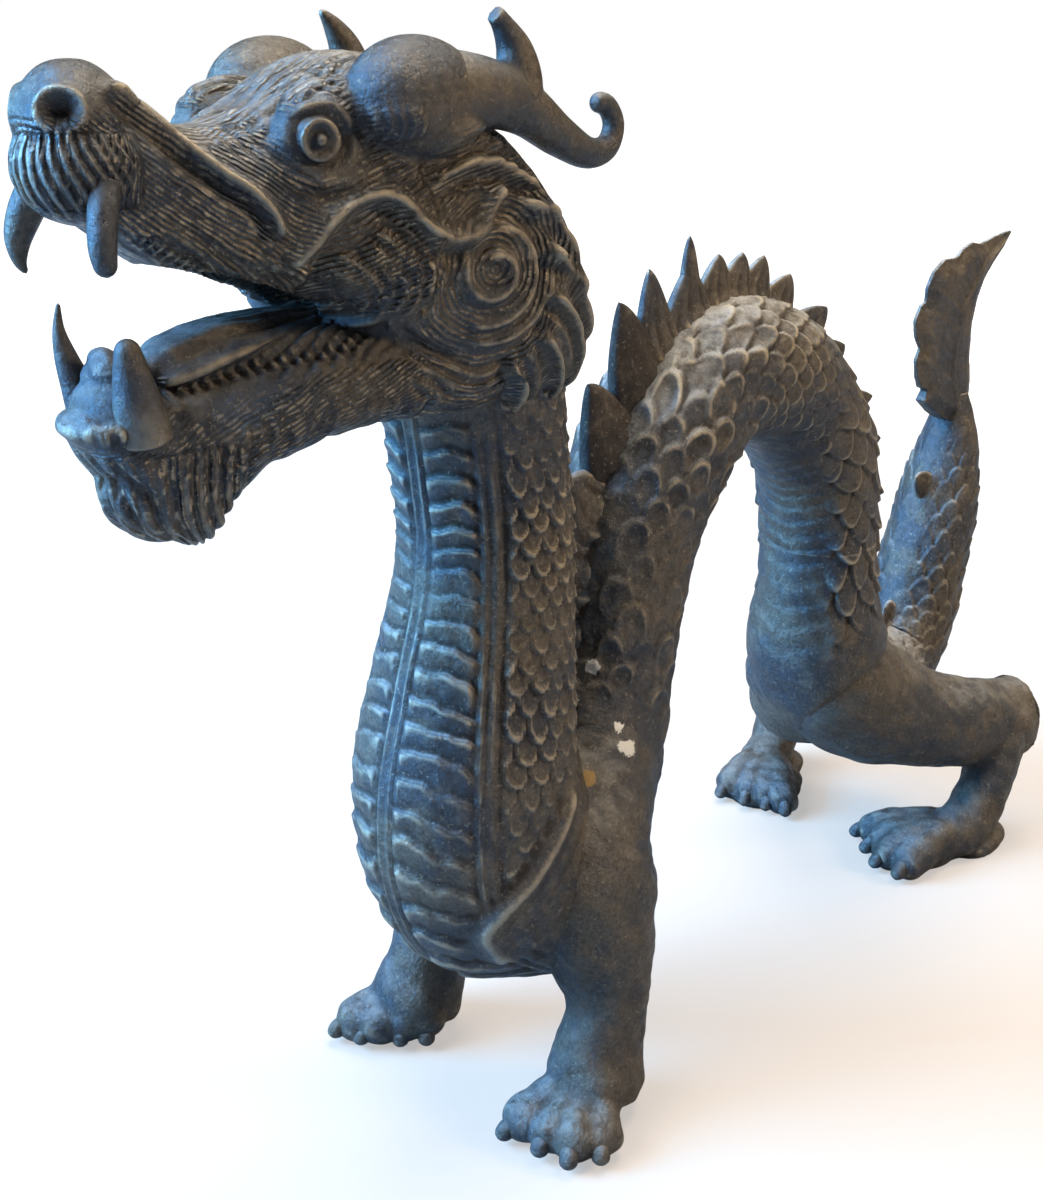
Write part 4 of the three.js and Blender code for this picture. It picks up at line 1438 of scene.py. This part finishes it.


# %% [markdown]
# One recipe makes every bronze: dark metal in two tones, dirt in the hollows, tan metal on the
# rims and hair lines, dust in patches, pale dust on the faces that look up that is partly a
# painted top light, and the specks. Dust and dirt also take away the metal's shine. Each part
# of the statue mixes them a little differently.

# %% The bronze recipe
HAIR_PITCH = 1.2  # mm between the finest hair lines
BROWN_METAL, BLUE_METAL = (0.124, 0.104, 0.080), (0.064, 0.068, 0.076)
SPECKLE, DIRT, BARE_METAL = (0.040, 0.034, 0.028), (0.026, 0.017, 0.011), (0.50, 0.41, 0.28)
# The pale colour laid on upward faces is settled dust and partly a painted top light.
POWDER, PALE_DUST_AND_TOP_LIGHT = (0.20, 0.155, 0.105), (0.42, 0.40, 0.36)
WHITE_PAINT, EARTH = (0.72, 0.69, 0.62), (0.30, 0.19, 0.07)


def hair_lines(n, place):
    """Lines that follow the number stored across the strands, fading in patches."""
    bent = n.times(n.noise(place, 130, 2), 9.0)
    wave = n.value("SINE", n.plus(n.times(n.attribute("strand"), 2 * math.pi / HAIR_PITCH), bent))
    hair = n.times(n.attribute("hair"), n.between(n.attribute("rim"), 0.85, 0.62))
    hair = n.times(hair, n.between(n.noise(place, 90, 3), 0.3, 0.6, 0.35, 1.0))
    return n.times(n.value("MULTIPLY_ADD", wave, 0.5, 0.5), hair)


def bronze(name, wear=1.0, dust_and_top_light=1.0, gloss=0.0, grain=1.0):
    """The dark casting bronze; wear, dust with its painted top light, gloss and grain change it a
    little per piece.
    """
    material = bpy.data.materials.new(name)
    material.use_nodes = True
    n = Nodes(material.node_tree)
    shader = material.node_tree.nodes["Principled BSDF"]
    place = n.add("ShaderNodeTexCoord").outputs["Object"]
    marks = n.add("ShaderNodeGroup")
    marks.node_tree = WEAR
    n.link(place, marks.inputs["Place"])
    marks.inputs["Amount"].default_value = wear
    worn, hollow = marks.outputs["Worn"], marks.outputs["Hollow"]
    polish, top = n.attribute("polish"), n.attribute("top")
    lines = hair_lines(n, place)

    # colour
    fleck = n.times(n.times(lines, n.between(n.noise(place, 420, 3, 0.7), 0.5, 0.6)), 0.7)
    fibre = n.between(n.noise(place, 800, 4, 0.75), 0.57, 0.67, 0.0, 0.3)
    fleck = n.times(n.value("MAXIMUM", fleck, fibre), wear)
    cloud = n.between(n.noise(place, 34, 5, 0.65), 0.42, 0.58)
    speckle = n.between(n.noise(place, 900, 2, 0.6), 0.35, 0.75)
    colour = n.mix(n.times(speckle, 0.6), n.mix(cloud, BROWN_METAL, BLUE_METAL), SPECKLE)
    colour = n.mix(n.times(hollow, 0.88 * dust_and_top_light), colour, DIRT)
    colour = n.mix(n.value("MAXIMUM", n.times(worn, 0.75), fleck), colour, BARE_METAL)
    unpolished = n.value("MULTIPLY_ADD", polish, -0.8, 1.0)
    powder = n.times(n.between(n.noise(place, 160, 5, 0.7), 0.48, 0.72), 0.4 * dust_and_top_light)
    powder = n.times(powder, unpolished)
    colour = n.mix(powder, colour, POWDER)
    # Paler on the faces that look up: settled dust, and partly a painted top light that brightens
    # the tops as if lit from above.
    settled_dust_and_top_light = n.times(n.between(top, 0.35, 0.95),
                      n.between(n.noise(place, 150, 5, 0.75), 0.38, 0.6, 0.1, 0.62))
    settled_dust_and_top_light = n.times(settled_dust_and_top_light, n.minus(1.0, hollow))
    settled_dust_and_top_light = n.times(n.times(settled_dust_and_top_light, unpolished), dust_and_top_light)
    colour = n.mix(settled_dust_and_top_light, colour, PALE_DUST_AND_TOP_LIGHT)
    for spots, paint in ((PAINT_SPOTS, WHITE_PAINT), (EARTH_SPOTS, EARTH)):
        colour = n.mix(spotted(n, place, spots), colour, paint)
    n.link(colour, shader.inputs["Base Color"])

    # shine
    rough = n.plus(n.between(n.noise(place, 260, 4), 0.3, 0.7, 0.34, 0.52),
                   n.times(hollow, 0.25))
    rough = n.minus(rough, n.times(worn, 0.06))
    matt = n.plus(n.times(powder, 0.5), n.times(settled_dust_and_top_light, 0.35))
    rough = n.plus(n.minus(rough, gloss), matt)
    rough = n.minus(rough, n.times(polish, 0.12))
    n.link(rough, shader.inputs["Roughness"])
    metal = n.minus(0.72, n.times(hollow, 0.5))
    metal = n.minus(metal, n.times(fleck, 0.5))
    metal = n.minus(metal, n.times(powder, 0.9))
    metal = n.value("MAXIMUM", n.minus(metal, settled_dust_and_top_light), 0.0)
    n.link(metal, shader.inputs["Metallic"])
    shader.inputs["Specular IOR Level"].default_value = 0.5

    # grain
    lumps = n.times(n.noise(place, 260, 3, 0.6), 0.7)
    height = n.plus(n.times(n.noise(place, 900, 5, 0.75), 0.6), lumps)
    height = n.plus(height, n.times(lines, 0.85))
    bump = n.add("ShaderNodeBump")
    bump.inputs["Strength"].default_value = 0.95 * grain
    bump.inputs["Distance"].default_value = 0.0008
    n.link(height, bump.inputs["Height"])
    n.link(bump.outputs["Normal"], shader.inputs["Normal"])
    print(name, "has", len(material.node_tree.nodes), "nodes")
    return material


BRONZE = bronze("chased_bronze")
HEAD_BRONZE = bronze("head_bronze", dust_and_top_light=0.45, gloss=0.03)
LEG_BRONZE = bronze("leg_bronze", dust_and_top_light=0.5, gloss=0.03, grain=1.3)
HORN_BRONZE = bronze("horn_bronze", wear=0.6, dust_and_top_light=0.3, gloss=0.08, grain=0.8)

# %% [markdown]
# Every piece belongs to the one casting, so all of them ride on its body and stand in for it.
# Points that swelled past the casting's measured box are brought back to it.

# %% Give every piece its finish


def finish(piece, material):
    pick(piece)
    bpy.ops.object.shade_smooth()
    mark_relief(piece)
    set_points(piece, np.clip(points_of(piece), cad_box[0], cad_box[1]))
    piece.data.materials.clear()
    piece.data.materials.append(material)
    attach(piece, "root")
    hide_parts("dragon")
    print(piece.name, triangles_of(piece), "triangles")


own_finish = {"head": HEAD_BRONZE, "horns": HORN_BRONZE, "fangs": HORN_BRONZE,
              "eyes": HORN_BRONZE}
for piece in body_pieces + other_pieces:
    kind = LEG_BRONZE if "_leg_" in piece.name else BRONZE
    finish(piece, own_finish.get(piece.name, kind))

# %% [markdown]
# ## Floor, light and camera
# The statue stands on a plain flat floor. A white sheet that curves up behind would show a grey
# band, so the floor glows instead, but only for the camera and more with distance: it fades
# into the white behind it, and the metal still mirrors a grey floor.

# %% Floor
FLOOR_SIZE = 9.0
GLOW_FROM, GLOW_TO = 0.35, 1.1  # metres from the statue
deselect()
bpy.ops.mesh.primitive_plane_add(size=1)
floor = bpy.context.object
floor.name = "floor"
set_points(floor, points_of(floor) * FLOOR_SIZE)
paper = bpy.data.materials.new("pale_paper")
paper.use_nodes = True
paper_shader = paper.node_tree.nodes["Principled BSDF"]
n = Nodes(paper.node_tree)
paper_shader.inputs["Roughness"].default_value = 0.9
paper_shader.inputs["Specular IOR Level"].default_value = 0.0
paper_shader.inputs["Emission Color"].default_value = (1, 1, 1, 1)
looked_at = n.add("ShaderNodeLightPath").outputs["Is Camera Ray"]
away = n.add("ShaderNodeVectorMath", operation="LENGTH")
n.link(n.add("ShaderNodeTexCoord").outputs["Object"], away.inputs[0])
glow = n.between(away.outputs["Value"], GLOW_FROM, GLOW_TO, 0.45, 1.0)
n.link(n.times(glow, looked_at), paper_shader.inputs["Emission Strength"])
n.link(n.mix(looked_at, (0.3, 0.3, 0.3), (0.32, 0.26, 0.21)), paper_shader.inputs["Base Color"])
floor.data.materials.append(paper)
print("floor", FLOOR_SIZE, "m square")

# %% [markdown]
# A large blue window light stands ahead of the dragon on its right, a soft white one hangs above
# and a small warm one stands behind on its left. A wide sun high in front fills in between. The
# cool and the warm side together are what shows the relief on dark metal.

# %% Lights
AIM = (0, 0, 0.14)  # the middle of the statue
PANELS = [  # name, place, size in metres, watts, colour
    ("window_light", (-1.15, 1.05, 0.85), 1.0, 135, (0.14, 0.48, 1.0)),
    ("top_light", (0.3, 0.15, 1.45), 1.0, 28, (1.0, 0.96, 0.88)),
    ("warm_light", (0.75, -1.2, 0.95), 0.4, 15, (1.0, 0.78, 0.55)),
]


def add_light(name, kind, energy, colour, turn):
    data = bpy.data.lights.new(name, kind)
    data.energy, data.color = energy, colour
    light = bpy.data.objects.new(name, data)
    light.rotation_euler = turn
    bpy.context.scene.collection.objects.link(light)
    return light


for name, place, size, watts, colour in PANELS:
    aim = np.array(AIM) - place
    turn = (math.atan2(math.hypot(aim[0], aim[1]), -aim[2]), 0,
            math.atan2(aim[1], aim[0]) - math.pi / 2)
    light = add_light(name, "AREA", watts, colour, turn)
    light.location = place
    light.data.size = size
daylight = add_light("daylight", "SUN", 1.8, (0.93, 0.96, 1.0),
                     (math.radians(42), 0, math.radians(-112)))
daylight.data.angle = math.radians(28)

# %% [markdown]
# Metal shows mostly what it mirrors, so the room matters as much as the lamps. The camera sees
# white all around, while the metal mirrors a dim warm room.

# %% The room around
world = bpy.data.worlds.new("studio")
bpy.context.scene.world = world
world.use_nodes = True
n = Nodes(world.node_tree)
seen = n.add("ShaderNodeLightPath").outputs["Is Camera Ray"]
n.link(n.mix(seen, (0.105, 0.092, 0.078), (1.0, 1.0, 1.0)),
       world.node_tree.nodes["Background"].inputs["Color"])
print(len(PANELS), "panels and a sun; the camera sees white around, the metal a dim room")

# %% [markdown]
# The camera stands at the height of the head, close in front of it on the dragon's left, so the
# head looms and the hind legs shrink. Its heading is turned from the tail's direction, and it
# looks a little down.

# %% Camera
CAMERA_PLACE = (-336.04, -240.74, 280.98)  # in the tables' millimetres
CAMERA_HEADING, CAMERA_DIP = 42.0, 20.77
camera_data = bpy.data.cameras.new("camera")
camera_data.lens = 43.5
camera_data.sensor_width = 36
camera_data.clip_start = 0.01
camera = bpy.data.objects.new("camera", camera_data)
bpy.context.scene.collection.objects.link(camera)
camera.location = (np.array(CAMERA_PLACE) + [SHIFT, 0, 0]) * MM
camera.rotation_euler = (math.radians(90 - CAMERA_DIP), 0, math.radians(CAMERA_HEADING - 90))
bpy.context.scene.camera = camera
bpy.context.scene.view_settings.view_transform = "Standard"

print("camera", round(camera.location.z, 3), "m up, lens", camera_data.lens, "mm")
